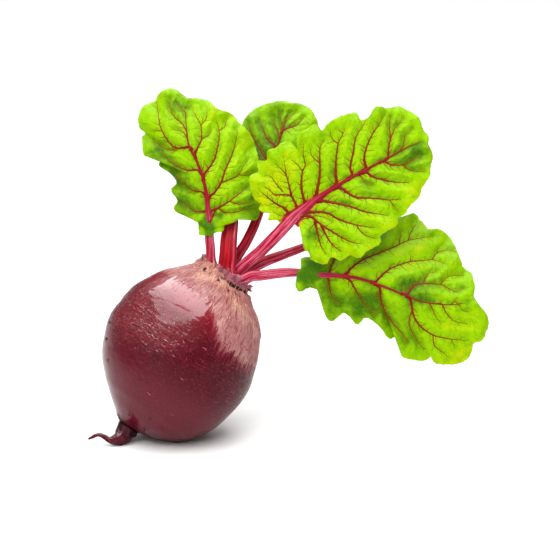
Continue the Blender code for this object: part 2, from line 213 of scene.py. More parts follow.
# foot: where the stalk stands on the crown, across the crown and near, then half width and half depth.
# stalk, rib: right, up, near, half width, half depth. left, right, tip: right and up, base to tip.
# tilts: how far the left and right halves lean forward per millimetre out from the rib.
# cover: how far the blade's base lies in front of its stalk. pale: 0 for a deep red stalk, 1 for pink.
LEAVES = [
    Leaf(
        name="leaf_left",
        foot=(-12.4, 3.0, 2.9, 2.6),
        stalk=[(16.8, 55.0, 4.5, 2.6, 2.4)],
        rib=[
            (16.2, 63.5, 6.0, 2.4, 2.1), (16.0, 73.0, 8.0, 1.9, 1.8), (14.0, 90.0, 12.0, 1.6, 1.5),
            (10.0, 103.0, 14.0, 1.35, 1.3), (5.0, 113.5, 15.0, 1.1, 1.1), (3.5, 125.5, 13.0, 0.8, 0.8),
            (3.5, 133.0, 10.0, 0.6, 0.6),
        ],
        left=[
            (10.6, 64.1), (9.4, 74.2), (3.5, 74.8), (-1.8, 76.8), (-3.2, 79.2), (-1.3, 83.1),
            (-4.8, 88.7), (-1.9, 92.6), (-3.0, 95.6), (-7.2, 99.7), (-11.4, 102.3), (-10.0, 106.3),
            (-13.1, 108.3), (-19.4, 107.8), (-20.3, 113.4), (-20.6, 117.5), (-19.2, 120.2),
            (-22.0, 122.9), (-22.4, 128.3), (-19.7, 134.5), (-13.7, 137.2), (-11.3, 141.3),
            (-6.0, 144.0), (-1.3, 142.8),
        ],
        right=[
            (18.4, 63.9), (19.8, 67.0), (23.4, 66.2), (24.4, 69.6), (29.1, 71.0), (35.6, 74.7),
            (41.5, 72.2), (43.8, 77.5), (43.0, 82.5), (41.2, 90.0), (42.6, 98.5), (43.0, 105.7),
            (41.2, 112.0), (40.5, 115.0), (37.4, 120.5), (32.0, 125.9), (30.3, 128.4), (26.7, 131.0),
            (20.1, 133.3), (16.0, 136.9), (10.6, 138.4),
        ],
        tip=(4.0, 138.8),
        tilts=(-0.3, -0.2),
        cup=-0.05,
        ruffle=1.8,
        waves=6,
        cover=2.8,
        pale=0.75,
    ),
    Leaf(
        name="leaf_inner_left",
        foot=(-2.3, 7.0, 4.5, 2.9),
        stalk=[
            (26.2, 52.0, 5.5, 4.6, 2.9), (26.8, 62.0, 2.5, 4.5, 2.7), (28.0, 71.0, -2.0, 3.9, 2.5),
        ],
        rib=[
            (28.7, 78.0, -5.5, 2.8, 2.2), (28.5, 85.0, -8.0, 2.0, 1.8), (26.5, 97.0, -11.0, 1.6, 1.5),
            (23.0, 110.5, -13.0, 1.1, 1.1), (20.0, 121.0, -14.0, 0.6, 0.6),
        ],
        left=[
            (23.0, 78.5), (17.0, 84.0), (12.5, 93.0), (8.5, 104.0), (7.0, 115.0), (12.0, 124.0),
        ],
        right=[
            (34.0, 79.0), (37.5, 86.0), (38.0, 96.0), (36.5, 107.0), (32.0, 117.0), (26.0, 124.0),
        ],
        tip=(19.0, 127.0),
        tilts=(0.05, 0.0),
        cup=0.1,
        ruffle=1.2,
        waves=3,
        cover=0.0,
        pale=0.0,
    ),
    Leaf(
        name="leaf_back",
        foot=(-1.8, -6.5, 2.6, 2.5),
        stalk=[
            (31.0, 52.0, -7.5, 2.8, 2.6), (36.5, 61.0, -9.0, 2.7, 2.5), (42.0, 73.0, -12.0, 2.5, 2.3),
        ],
        rib=[
            (46.5, 87.0, -15.5, 2.0, 1.8), (49.5, 99.5, -18.5, 1.5, 1.4),
            (52.5, 110.0, -21.0, 1.2, 1.2), (56.5, 123.0, -24.0, 0.9, 0.9),
            (59.5, 132.0, -26.0, 0.6, 0.6),
        ],
        left=[
            (42.0, 88.0), (41.0, 98.5), (42.0, 107.5), (36.5, 114.5), (33.5, 123.5), (36.5, 130.0),
            (42.5, 135.0), (49.5, 137.5), (56.0, 138.5),
        ],
        right=[
            (51.5, 86.0), (57.0, 92.0), (66.0, 100.0), (73.5, 109.0), (76.0, 118.5), (75.5, 127.0),
            (72.0, 133.5), (66.5, 137.0),
        ],
        tip=(61.0, 137.5),
        tilts=(-0.1, -0.15),
        cup=-0.1,
        ruffle=1.5,
        waves=4,
        cover=0.0,
        pale=0.1,
    ),
    Leaf(
        name="leaf_front",
        foot=(0.7, 0.5, 3.0, 2.9),
        stalk=[
            (34.5, 46.8, 2.5, 3.3, 3.0), (44.0, 55.2, 5.0, 3.2, 2.8), (53.0, 64.0, 8.0, 3.3, 2.6),
        ],
        rib=[
            (60.5, 72.0, 10.0, 3.3, 2.4), (66.0, 77.0, 12.0, 2.7, 2.2), (74.5, 83.5, 15.0, 2.3, 2.0),
            (85.5, 90.5, 19.0, 1.9, 1.8), (96.0, 96.5, 22.0, 1.6, 1.5), (112.0, 105.0, 27.0, 1.2, 1.2),
            (124.0, 111.5, 30.0, 0.8, 0.8), (131.0, 114.5, 31.0, 0.6, 0.6),
        ],
        left=[
            (54.5, 71.0), (51.8, 73.3), (48.4, 72.2), (49.6, 77.6), (45.8, 76.4), (43.2, 78.3),
            (44.2, 80.8), (40.6, 84.3), (38.1, 92.7), (38.5, 96.2), (42.9, 98.5), (42.5, 104.0),
            (47.6, 104.7), (48.0, 109.9), (52.4, 111.2), (56.0, 114.2), (60.8, 114.0), (64.0, 110.6),
            (64.2, 117.3), (69.9, 121.7), (74.1, 124.0), (77.7, 120.6), (80.4, 124.1), (86.0, 127.6),
            (90.9, 129.4), (96.0, 130.3), (98.6, 126.5), (102.8, 127.4), (105.4, 131.8), (108.0, 133.7),
            (113.3, 132.7), (119.6, 133.3), (125.8, 130.4), (130.2, 126.7), (132.0, 121.3),
            (135.0, 117.3),
        ],
        right=[
            (64.5, 68.4), (70.6, 68.9), (71.2, 65.2), (70.6, 61.9), (67.6, 60.6), (68.2, 56.3),
            (71.2, 53.5), (72.0, 50.5), (79.6, 48.0), (82.5, 51.9), (88.1, 50.2), (93.0, 53.0),
            (98.1, 51.6), (102.8, 55.6), (109.3, 59.4), (109.3, 63.5), (114.0, 66.8), (118.4, 69.2),
            (118.7, 73.3), (122.4, 75.2), (125.8, 80.1), (130.2, 84.8), (132.0, 89.9), (135.8, 95.3),
            (136.3, 101.0), (137.6, 106.8),
        ],
        tip=(134.8, 113.0),
        tilts=(0.1, 0.06),
        cup=-0.05,
        ruffle=2.0,
        waves=7,
        cover=0.0,
        pale=0.95,
    ),
    Leaf(
        name="leaf_inner_right",
        foot=(5.9, -4.5, 2.7, 2.5),
        stalk=[
            (37.8, 44.5, -5.0, 3.0, 2.6), (46.0, 49.4, -5.5, 2.9, 2.5), (57.0, 53.5, -6.5, 2.5, 2.3),
        ],
        rib=[
            (70.0, 58.5, -8.0, 2.1, 1.9), (82.0, 65.5, -10.0, 1.6, 1.5), (96.0, 72.5, -12.0, 1.2, 1.2),
            (109.5, 79.5, -14.0, 0.9, 0.9), (116.0, 83.5, -15.0, 0.6, 0.6),
        ],
        left=[
            (67.0, 63.0), (68.0, 71.0), (75.0, 79.0), (86.0, 85.5), (98.0, 91.0), (110.0, 93.0),
            (117.0, 91.0),
        ],
        right=[
            (74.0, 54.0), (83.0, 53.0), (94.0, 56.0), (105.0, 62.0), (114.0, 70.5), (120.5, 79.0),
        ],
        tip=(121.0, 86.0),
        tilts=(0.0, 0.05),
        cup=0.1,
        ruffle=1.2,
        waves=3,
        cover=0.0,
        pale=0.5,
    ),
    Leaf(
        name="leaf_right",
        foot=(5.2, 5.5, 2.8, 2.6),
        stalk=[
            (38.6, 41.4, 6.5, 2.9, 2.7), (45.0, 42.0, 5.5, 2.8, 2.5), (54.5, 43.2, 4.5, 2.6, 2.3),
        ],
        rib=[
            (64.0, 43.5, 4.0, 2.2, 2.0), (75.0, 42.5, 4.0, 1.9, 1.8), (91.0, 41.5, 5.0, 1.6, 1.6),
            (101.0, 39.5, 6.0, 1.4, 1.4), (115.0, 34.5, 7.5, 1.2, 1.2), (130.0, 28.5, 8.0, 1.0, 1.0),
            (144.5, 26.0, 7.0, 0.8, 0.8), (157.0, 27.0, 5.0, 0.6, 0.6),
        ],
        left=[
            (64.7, 44.6), (68.6, 47.0), (66.3, 50.7), (69.8, 52.0), (78.0, 51.5), (90.5, 57.0),
            (104.0, 66.0), (116.0, 72.5), (124.1, 75.0), (128.5, 76.0), (132.3, 72.1), (136.4, 67.5),
            (141.7, 67.4), (146.8, 64.0), (150.5, 58.6), (153.4, 51.2), (155.4, 46.1), (159.5, 43.2),
            (161.3, 36.5), (160.7, 30.7),
        ],
        right=[
            (64.7, 42.0), (63.4, 36.8), (65.6, 33.3), (71.3, 35.3), (77.4, 32.9), (78.1, 25.5),
            (81.0, 18.0), (84.7, 17.5), (89.3, 21.3), (92.6, 19.9), (97.0, 15.3), (102.1, 18.8),
            (107.2, 16.0), (110.9, 12.3), (114.7, 7.3), (119.9, 8.9), (122.6, 3.5), (121.3, -1.1),
            (123.4, -3.4), (129.2, -4.4), (133.8, -4.9), (138.0, -2.8), (140.2, -6.2), (150.5, -6.9),
            (156.6, -4.7), (160.2, 0.0), (161.0, 4.8), (165.4, 6.4), (167.6, 10.1), (169.1, 16.0),
            (168.1, 20.6),
        ],
        tip=(164.2, 25.2),
        tilts=(-0.15, -0.25),
        cup=-0.1,
        ruffle=2.0,
        waves=7,
        cover=2.7,
        pale=0.8,
    ),
]

# Side veins, each with its half width at the start, then plan points from the rib or its parent outwards
VEINS = {
    "leaf_front": [
        (1.05, [(64.5, 77.5), (61, 85), (56, 86), (52, 86), (48.5, 89), (46, 90.5)]),
        (0.6, [(61, 85), (60, 90), (58.5, 96), (56, 99.5), (52, 103)]),
        (0.4, [(58.5, 96), (57.5, 101.5), (56.5, 107.5)]),
        (0.5, [(56.5, 87.5), (53, 91.5), (49.5, 96), (46, 96)]),
        (1.0, [(61, 73), (58, 78), (53, 81), (49.5, 83.5), (44, 88)]),
        (0.45, [(58, 75), (54, 75), (50.5, 77.5)]),
        (0.6, [(60.5, 71), (58.2, 74), (57.3, 79), (56.5, 83)]),
        (0.5, [(58.5, 70.5), (56, 72.5), (53.5, 76), (51.5, 80)]),
        (0.5, [(69.5, 73), (74, 74.5), (79, 73.5), (84, 71)]),
        (1.0, [(69, 79.5), (67, 86.5), (66.5, 92.5), (67, 98.5), (68.5, 102), (67.5, 108.5), (67.5, 114)]),
        (0.45, [(67, 98.5), (64.5, 102), (61, 105)]),
        (1.1, [(74, 84.5), (75.5, 90.5), (76.5, 97), (76.5, 103), (76.5, 111), (79, 116)]),
        (0.5, [(76.5, 103), (72.5, 106.5), (71, 111.5)]),
        (0.35, [(76.5, 110.5), (74.5, 113.5)]),
        (1.0, [(85.5, 92), (85, 99), (85.5, 106.5), (86.5, 113.5), (89, 119), (90, 122)]),
        (0.45, [(86.5, 113.5), (83, 116.5), (82, 121.5)]),
        (0.35, [(89, 119), (86.5, 121.5)]),
        (0.85, [(94, 96.5), (93, 100.5), (94.5, 108.5), (96, 117), (99.5, 122.5), (101.5, 126.5)]),
        (0.85, [(101.5, 100.5), (100.5, 105), (102, 112), (105, 118.5), (108.5, 124), (111.5, 129.5)]),
        (0.35, [(105.5, 119), (105, 124)]),
        (0.65, [(113.5, 106), (113.5, 110), (114.5, 116.5), (114, 124), (114.5, 127.5)]),
        (0.45, [(114.5, 115), (117, 121.5), (121.5, 126.5)]),
        (0.45, [(121.5, 112), (122.5, 117), (126, 121)]),
        (0.7, [(111, 104), (115.5, 102), (121.5, 102), (126, 104), (130.5, 107)]),
        (0.4, [(121.5, 102), (125.5, 99), (133, 98)]),
        (0.9, [(101.5, 98), (105.5, 95.5), (112, 93.5), (117.5, 92.5), (125, 92.5)]),
        (0.45, [(98.5, 96), (101, 92.5), (104.5, 90.5)]),
        (1.0, [(87, 90), (91, 87.5), (96, 84.5), (103, 84), (110, 83.5), (114.5, 83), (120.5, 83.5)]),
        (0.4, [(114.5, 83), (117, 79.5), (119, 77)]),
        (1.0, [(78.5, 82.5), (84.5, 81.5), (93, 79.5), (100, 77), (107, 75.5), (114, 74.5)]),
        (1.1, [(72, 76.5), (80.5, 76), (86, 73), (92.5, 70.5), (98.5, 69), (106.5, 68)]),
        (0.45, [(96.5, 69), (99, 65.5), (103, 63), (107.5, 62)]),
        (1.1, [(70.5, 74.5), (77.5, 69.5), (83, 66), (89, 62.5), (94.5, 60), (100, 59)]),
        (0.35, [(88, 62.5), (89, 60)]),
        (0.8, [(74, 71.5), (75.5, 64.5), (77.5, 57.5), (80.5, 53)]),
        (0.7, [(77.5, 69), (81, 62), (84.5, 57.5), (88.5, 55)]),
        (0.35, [(83, 59), (83, 55)]),
    ],
    "leaf_left": [
        (0.8, [(17, 77), (20, 78.5), (27, 82.5), (33, 87), (37, 90.5)]),
        (0.6, [(20.5, 78.5), (24, 76.5), (29.5, 76.5), (35, 78), (40, 79.5)]),
        (0.4, [(27, 82.5), (32, 81), (37, 82), (40.5, 83.5)]),
        (0.85, [(16, 84.5), (19, 87.5), (22.5, 92.5), (25, 100), (27.5, 105.5), (29.5, 111),
            (31, 117.5), (31.5, 122)]),
        (0.5, [(22.5, 92.5), (27.5, 94.5), (32, 97), (35, 102), (37.5, 105.5)]),
        (0.35, [(32, 97), (37, 97), (41, 99)]),
        (0.75, [(13, 96.5), (16, 100.5), (19, 105.5), (20.5, 111), (21.5, 116), (21.5, 121), (20, 126.5)]),
        (0.35, [(21.5, 121), (24.5, 123), (25.5, 128)]),
        (0.65, [(8.5, 109), (10, 112), (12, 116.5), (11.5, 124), (9, 128.5), (7, 132.5)]),
        (0.35, [(11.5, 124), (14.5, 127.5), (15, 133)]),
        (0.4, [(12, 116.5), (16, 118.5), (17.5, 122)]),
        (0.7, [(5.5, 112), (-0.5, 111.5), (-5, 114), (-9.5, 121), (-11, 125.5), (-12, 132.5),
            (-12.5, 137)]),
        (0.35, [(-9.5, 121), (-14.5, 121)]),
        (0.4, [(-1, 111.5), (-5.5, 110.5), (-11, 113.5), (-15.5, 117.5)]),
        (0.6, [(10, 99.5), (4, 99.5), (-0.5, 101.5), (-6, 105), (-10.5, 110)]),
        (0.6, [(12.5, 87.5), (7.5, 88.5), (3.5, 91.5), (-1.5, 97)]),
        (0.6, [(15, 77), (8.5, 77), (4, 80.5), (0, 81.5)]),
        (0.5, [(2, 124), (0, 126), (-3.5, 129.5), (-5.5, 134.5), (-5, 138)]),
        (0.4, [(3, 131), (0.5, 133), (-2, 136)]),
        (0.5, [(4, 117), (1.5, 120.5), (-3.5, 121.5)]),
    ],
    "leaf_right": [
        (0.7, [(81.5, 43.5), (83.5, 48.5), (86, 54.5), (90, 61)]),
        (0.85, [(90, 42), (95, 47), (101, 51), (108.5, 54), (117, 57.5), (125, 61), (132.5, 62.5),
            (138.5, 63.5)]),
        (0.4, [(120, 58.5), (120.5, 63), (121.5, 67)]),
        (0.4, [(125, 61), (126.5, 65.5), (129.5, 70)]),
        (0.75, [(107, 38.5), (111.5, 43), (117, 46.5), (126, 49.5), (132, 50), (138, 50.5), (145, 48.5)]),
        (0.4, [(138, 50.5), (141, 54.5), (146, 55.5), (151.5, 55)]),
        (0.35, [(126, 49.5), (126.5, 53.5)]),
        (0.65, [(124.5, 32), (128, 36.5), (133.5, 37.5), (142.5, 37), (146.5, 35), (151, 33), (155, 35)]),
        (0.4, [(142.5, 37), (147, 41.5), (155, 42)]),
        (0.4, [(133, 37.5), (135.5, 42.5), (140.5, 44)]),
        (0.35, [(121.5, 32), (122.5, 36.5)]),
        (0.65, [(81, 41), (82, 34.5), (83.5, 30.5), (87, 26)]),
        (0.7, [(93, 39.5), (96, 34.5), (99.5, 29), (104, 24), (107.5, 20.5)]),
        (0.75, [(109.5, 35), (110, 29), (113, 21.5), (117, 15.5), (121.5, 10.5), (125, 5)]),
        (0.75, [(126, 29), (128, 20), (132, 14), (138.5, 9.5), (144, 8), (150, 7), (158, 6.5)]),
        (0.45, [(138.5, 9.5), (139.5, 3.5), (144, 0), (147.5, -3)]),
        (0.35, [(148.5, 7.5), (151, 2)]),
        (0.5, [(127, 23), (125.5, 15.5), (129, 8), (134, 1.5)]),
        (0.5, [(137, 26), (140, 19.5), (143, 15.5)]),
        (0.5, [(143, 26.5), (146, 21), (150.5, 17), (157.5, 15.5)]),
        (0.4, [(151, 27.5), (154.5, 23), (158, 22.5)]),
    ],
    "leaf_back": [
        (0.75, [(52.5, 113), (47.5, 118), (45, 124), (43.5, 127.5)]),
        (0.55, [(54, 120.5), (52, 125), (51.5, 129.5)]),
        (0.65, [(56.5, 122.5), (61, 124), (64.5, 125.5), (68, 129.5)]),
        (0.35, [(56, 125), (55, 129), (56, 132.5)]),
        (0.35, [(57.5, 126), (61, 130.5), (63.5, 132.5)]),
    ],
}
# Where veins follow a rule instead: shares of the blade's length at which a pair leaves the rib
RULED_VEINS = {
    "leaf_back": (0.08, 0.2, 0.33),
    "leaf_inner_left": (0.08, 0.2, 0.33, 0.47, 0.61, 0.75),
    "leaf_inner_right": (0.08, 0.2, 0.33, 0.47, 0.61, 0.75),
}
RULED_SWEEP = 0.16
RULED_REACH = 0.88
RULED_WIDTH = 0.75

# Patches of painted light and shade on each blade: right, up, reach, then how far towards dark green shade
# (below 0) or lit yellow (above 0)
PAINTED_BLADE_LIGHT_AND_SHADE = {
    "leaf_left": [
        (16, 68, 8, -0.85), (11.8, 66, 2.6, 0.5), (22.6, 67, 2.6, 0.3), (21.6, 74.6, 2.4, -1.0),
        (42, 76, 9, -1.1), (2, 79, 8, -0.8), (-14, 110, 7, -0.8), (-6, 100, 8, -0.8), (2, 90, 8, -0.6),
        (-1, 136, 6, -0.8), (22, 96, 9, 0.1), (28, 110, 10, 0.1), (18, 130, 9, 0.35),
        (-14, 126, 8, 0.25), (36, 114, 8, 0.05), (41, 90, 6, -0.4),
    ],
    "leaf_inner_left": [(26, 100, 30, -0.8)],
    "leaf_back": [
        (44, 104, 14, -1.1), (55, 118, 12, -0.3), (54, 134, 7, -0.3), (38, 125, 8, -0.4), (68, 122, 8, 0.0),
    ],
    "leaf_front": [
        (48, 92, 14, 0.8), (62, 104, 10, 0.5), (50, 76, 8, 0.6), (84, 57, 14, 0.5), (87, 63, 8, -0.4),
        (104, 72, 12, 0.3), (73, 64, 5, -0.9), (129, 108, 8, -1.0), (118, 102, 8, -0.4),
        (104, 89, 7, -0.6), (90, 80, 5, -0.5), (118, 124, 9, -0.3), (88, 118, 14, 0.2),
        (126, 88, 8, 0.35), (82, 100, 8, -0.35),
    ],
    "leaf_inner_right": [(95, 72, 34, -0.8)],
    "leaf_right": [
        (70, 36, 11, -0.95), (133, 33, 9, -0.8), (64.5, 35.6, 3, 0.8), (65.4, 46, 2.4, 0.5),
        (75, 37, 4, 0.5), (86, 26, 11, -0.7), (74, 48, 8, -0.8), (97, 22, 9, -0.65), (104, 29, 8, -0.8),
        (114, 18, 8, -0.8), (126, 5, 8, -0.6), (106, 60, 9, -0.7), (124, 37, 6, -1.0),
        (128, 54, 12, 0.3), (150, 0, 12, 0.4), (150, 18, 9, 0.35), (158, 31, 7, -0.5),
    ],
}


def linear(red, green, blue):
    """Gives the linear colour of a screen colour with parts from 0 to 255."""
    parts = []
    for part in (red, green, blue):
        share = part / 255
        parts.append(share / 12.92 if share <= 0.04045 else ((share + 0.055) / 1.055) ** 2.4)
    return tuple(parts)


# Places and curves


def seen(plan):
    """Gives the world places, in metres, of plan points in millimetres."""
    plan = np.asarray(plan, dtype=float)
    right, up, near = plan[..., 0], plan[..., 1], plan[..., 2]
    y = up * math.sin(PLANE_LEAN) - near * math.cos(PLANE_LEAN)
    z = GLOBE_HEIGHT + up * math.cos(PLANE_LEAN) + near * math.sin(PLANE_LEAN)
    return np.stack((right, y, z), axis=-1) * MM


def world_way(direction):
    """Gives the world direction of a plan direction."""
    return Vector(seen(direction) - seen((0, 0, 0))).normalized()


def by_axis(along, across, near):
    """Gives the plan place of points measured along and across the root's own axis."""
    along = np.asarray(along, dtype=float)[..., None]
    across = np.asarray(across, dtype=float)[..., None]
    near = np.asarray(near, dtype=float)[..., None]
    return along * AXIS + across * ACROSS + near * NEAR


def run_of(points):
    """Gives the length covered at each point of a line, seen from the front."""
    steps = np.hypot(*np.diff(np.asarray(points)[:, :2], axis=0).T)
    return np.concatenate(([0.0], np.cumsum(steps)))


def length_along(points):
    """Gives the length covered at each point of a line in space."""
    return np.concatenate(([0], np.cumsum(np.linalg.norm(np.diff(points, axis=0), axis=1))))


def curve_at(points, shares):
    """Reads a smooth curve through the points at shares of its length seen from the front."""
    points = np.asarray(points, dtype=float)
    marks = run_of(points)
    marks = marks / marks[-1]
    index = np.searchsorted(marks[1:-1], shares)
    t = ((shares - marks[index]) / (marks[index + 1] - marks[index]))[:, None]
    before = points[np.maximum(index - 1, 0)]
    start = points[index]
    end = points[index + 1]
    after = points[np.minimum(index + 2, len(points) - 1)]
    cubic = -before + 3 * start - 3 * end + after
    square = 2 * before - 5 * start + 4 * end - after
    return 0.5 * (2 * start + (end - before) * t + square * t**2 + cubic * t**3)


def fade(values, low, high):
    """Rises smoothly from 0 at low to 1 at high."""
    t = np.clip((np.asarray(values, dtype=float) - low) / (high - low), 0.0, 1.0)
    return t * t * (3 - 2 * t)


def rough(points, size, seed):
    """Gives smooth noise, about -1 to 1, at each point; size is the width of a lump."""
    shape = points.shape[:-1]
    places = (points.reshape(-1, 3) / size + seed * 7.31).tolist()
    return np.array([noise.noise(place) for place in places]).reshape(shape)


def unit(vectors):
    """Gives vectors of length 1."""
    return vectors / np.maximum(np.linalg.norm(vectors, axis=-1, keepdims=True), 1e-9)


# Meshes


def strip_faces(numbers, around):
    """Gives the quads between the rows of a grid of vertex numbers; around joins each row's ends."""
    after = np.roll(numbers, -1, axis=1) if around else numbers[:, 1:]
    here = numbers if around else numbers[:, :-1]
    return np.stack((here[:-1], after[:-1], after[1:], here[1:]), axis=-1).reshape(-1, 4)


def point_normals(points, faces):
    """Gives each point's unit normal, averaged over the quads around it."""
    corners = points[faces]
    facing = np.cross(corners[:, 2] - corners[:, 0], corners[:, 3] - corners[:, 1])
    normals = np.zeros_like(points)
    for corner in range(faces.shape[1]):
        np.add.at(normals, faces[:, corner], facing)
    return unit(normals)


def add_piece(name, points, faces, material, attributes, edges=()):
    """Links one mesh object with its place in its mesh, and gives its points their attributes."""
    mesh = bpy.data.meshes.new(name)
    mesh.from_pydata(points.tolist(), [tuple(edge) for edge in edges], [tuple(face) for face in faces])
    for key, values in attributes.items():
        kind = "FLOAT_VECTOR" if values.ndim == 2 else "FLOAT"
        field = "vector" if values.ndim == 2 else "value"
        layer = mesh.attributes.new(key, kind, "POINT")
        layer.data.foreach_set(field, np.ascontiguousarray(values, dtype=np.float32).ravel())
    if material:
        mesh.materials.append(material)
    mesh.shade_smooth()
    made = bpy.data.objects.new(name, mesh)
    bpy.context.scene.collection.objects.link(made)
    return made


def finish_piece(piece, slot, *nodes):
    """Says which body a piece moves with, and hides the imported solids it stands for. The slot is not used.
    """
    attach(piece, "root")
    if nodes:
        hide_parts(*nodes)


# Node trees


def fill(tree, socket, value):
    """Links a node's output to a socket, or else sets the socket's own value."""
    if isinstance(value, Number):
        value = value.socket
    if isinstance(value, bpy.types.NodeSocket):
        tree.links.new(value, socket)
    elif socket.type == "RGBA" and len(value) == 3:
        socket.default_value = (*value, 1.0)
    else:
        socket.default_value = value


def add_node(tree, kind, settings=None, inputs=None):
    """Adds a node: its settings first, then the values or links of its sockets by identifier."""
    made = tree.nodes.new(kind)
    for key, value in (settings or {}).items():
        setattr(made, key, value)
    for key, value in (inputs or {}).items():
        fill(tree, next(item for item in made.inputs if item.identifier == key), value)
    return made


class Tree:
    """Builds one geometry node tree with named inputs."""

    def __init__(self, name, inputs):
        self.group = bpy.data.node_groups.new(name, "GeometryNodeTree")
        face = self.group.interface
        face.new_socket("Geometry", in_out="INPUT", socket_type="NodeSocketGeometry")
        for label, kind in inputs:
            face.new_socket(label, in_out="INPUT", socket_type=kind)
        face.new_socket("Geometry", in_out="OUTPUT", socket_type="NodeSocketGeometry")
        self.source = self.group.nodes.new("NodeGroupInput")
        self.end = self.group.nodes.new("NodeGroupOutput")

    def node(self, kind, settings=None, inputs=None):
        return add_node(self.group, kind, settings, inputs)

    def named(self, name, kind="FLOAT"):
        """Reads a named attribute."""
        made = self.node("GeometryNodeInputNamedAttribute", {"data_type": kind}, {"Name": name})
        return next(item for item in made.outputs if item.enabled and item.name == "Attribute")

    def vector(self, operation, inputs):
        """Adds vector arithmetic."""
        return self.node("ShaderNodeVectorMath", {"operation": operation}, inputs)

    def maths(self, operation, first, second):
        """Adds arithmetic on two numbers."""
        inputs = {"Value": first, "Value_001": second}
        return self.node("ShaderNodeMath", {"operation": operation}, inputs)

    def close(self, geometry, material):
        """Ends the tree in real geometry with its material."""
        real = self.node("GeometryNodeRealizeInstances", inputs={"Geometry": geometry}).outputs[0]
        dressed = self.node("GeometryNodeSetMaterial", inputs={"Geometry": real, "Material": material})
        self.group.links.new(dressed.outputs[0], self.end.inputs[0])


def sweep_tree():
    """Makes the tree that turns edge lines into tapering strands, pressed flat against what they lie on."""
    tree = Tree("Sweep strands", [("Sides", "NodeSocketInt"), ("Material", "NodeSocketMaterial")])
    source = tree.source.outputs
    ring = {"Resolution": source["Sides"], "Radius": 1.0}
    circle = tree.node("GeometryNodeCurvePrimitiveCircle", inputs=ring)
    curve = tree.node("GeometryNodeMeshToCurve", inputs={"Mesh": source["Geometry"]})
    sweep = {"Curve": curve.outputs[0], "Profile Curve": circle.outputs[0]}
    sweep.update({"Scale": tree.named("radius"), "Fill Caps": True})
    tube = tree.node("GeometryNodeCurveToMesh", inputs=sweep)
    facing = tree.named("facing", "FLOAT_VECTOR")
    place = tree.node("GeometryNodeInputPosition").outputs[0]
    centre = tree.named("centre", "FLOAT_VECTOR")
    away = tree.vector("SUBTRACT", {"Vector": place, "Vector_001": centre})
    height = tree.vector("DOT_PRODUCT", {"Vector": away.outputs[0], "Vector_001": facing})
    excess = tree.maths("SUBTRACT", tree.named("lift"), 1.0)
    push = tree.maths("MULTIPLY", height.outputs["Value"], excess.outputs[0])
    offset = tree.vector("SCALE", {"Vector": facing, "Scale": push.outputs[0]})
    moved = {"Geometry": tube.outputs[0], "Offset": offset.outputs[0]}
    flat = tree.node("GeometryNodeSetPosition", inputs=moved).outputs[0]
    smooth = tree.node("GeometryNodeSetShadeSmooth", inputs={"Geometry": flat, "Shade Smooth": True})
    tree.close(smooth.outputs[0], source["Material"])
    return tree.group


def scatter_tree():
    """Makes the tree that sets one small shape on every point, turned and sized by the point's attributes."""
    tree = Tree("Set scales", [("Shape", "NodeSocketObject"), ("Material", "NodeSocketMaterial")])
    source = tree.source.outputs
    points = tree.node("GeometryNodeMeshToPoints", inputs={"Mesh": source["Geometry"]})
    shape = tree.node("GeometryNodeObjectInfo", inputs={"Object": source["Shape"]})
    ways = {"Primary Axis": "facing", "Secondary Axis": "along"}
    turn = tree.node(
        "FunctionNodeAxesToRotation",
        {"primary_axis": "Z", "secondary_axis": "X"},
        {key: tree.named(name, "FLOAT_VECTOR") for key, name in ways.items()},
    )
    placed = tree.node(
        "GeometryNodeInstanceOnPoints",
        inputs={
            "Points": points.outputs[0],
            "Instance": shape.outputs["Geometry"],
            "Rotation": turn.outputs[0],
            "Scale": tree.named("size", "FLOAT_VECTOR"),
        },
    )
    tree.close(placed.outputs[0], source["Material"])
    return tree.group


def grow(piece, group, values):
    """Runs a tree on a piece and keeps the result as its plain mesh."""
    modifier = piece.modifiers.new(group.name, "NODES")
    modifier.node_group = group
    for item in group.interface.items_tree:
        if item.name in values:
            modifier[item.identifier] = values[item.name]
    graph = bpy.context.evaluated_depsgraph_get()
    made = bpy.data.meshes.new_from_object(
        piece.evaluated_get(graph), preserve_all_data_layers=True, depsgraph=graph
    )
    piece.modifiers.clear()
    bare = piece.data
    piece.data = made
    bpy.data.meshes.remove(bare)
    if len(made.polygons) == 0:
        raise RuntimeError(f"{piece.name}: the tree made no faces")
    return piece


# Materials


class Number:
    """A number that changes over a surface: arithmetic on it adds Math nodes."""

    def __init__(self, sheet, socket):
        self.sheet = sheet
        self.socket = socket

    def math(self, operation, first, second):
        """Adds a Math node."""
        inputs = {"Value": first, "Value_001": second}
        return self.sheet.node("ShaderNodeMath", {"operation": operation}, inputs)

    def __add__(self, other):
        return self.math("ADD", self, other)

    def __radd__(self, other):
        return self.math("ADD", other, self)

    def __sub__(self, other):
        return self.math("SUBTRACT", self, other)

    def __rsub__(self, other):
        return self.math("SUBTRACT", other, self)

    def __mul__(self, other):
        return self.math("MULTIPLY", self, other)


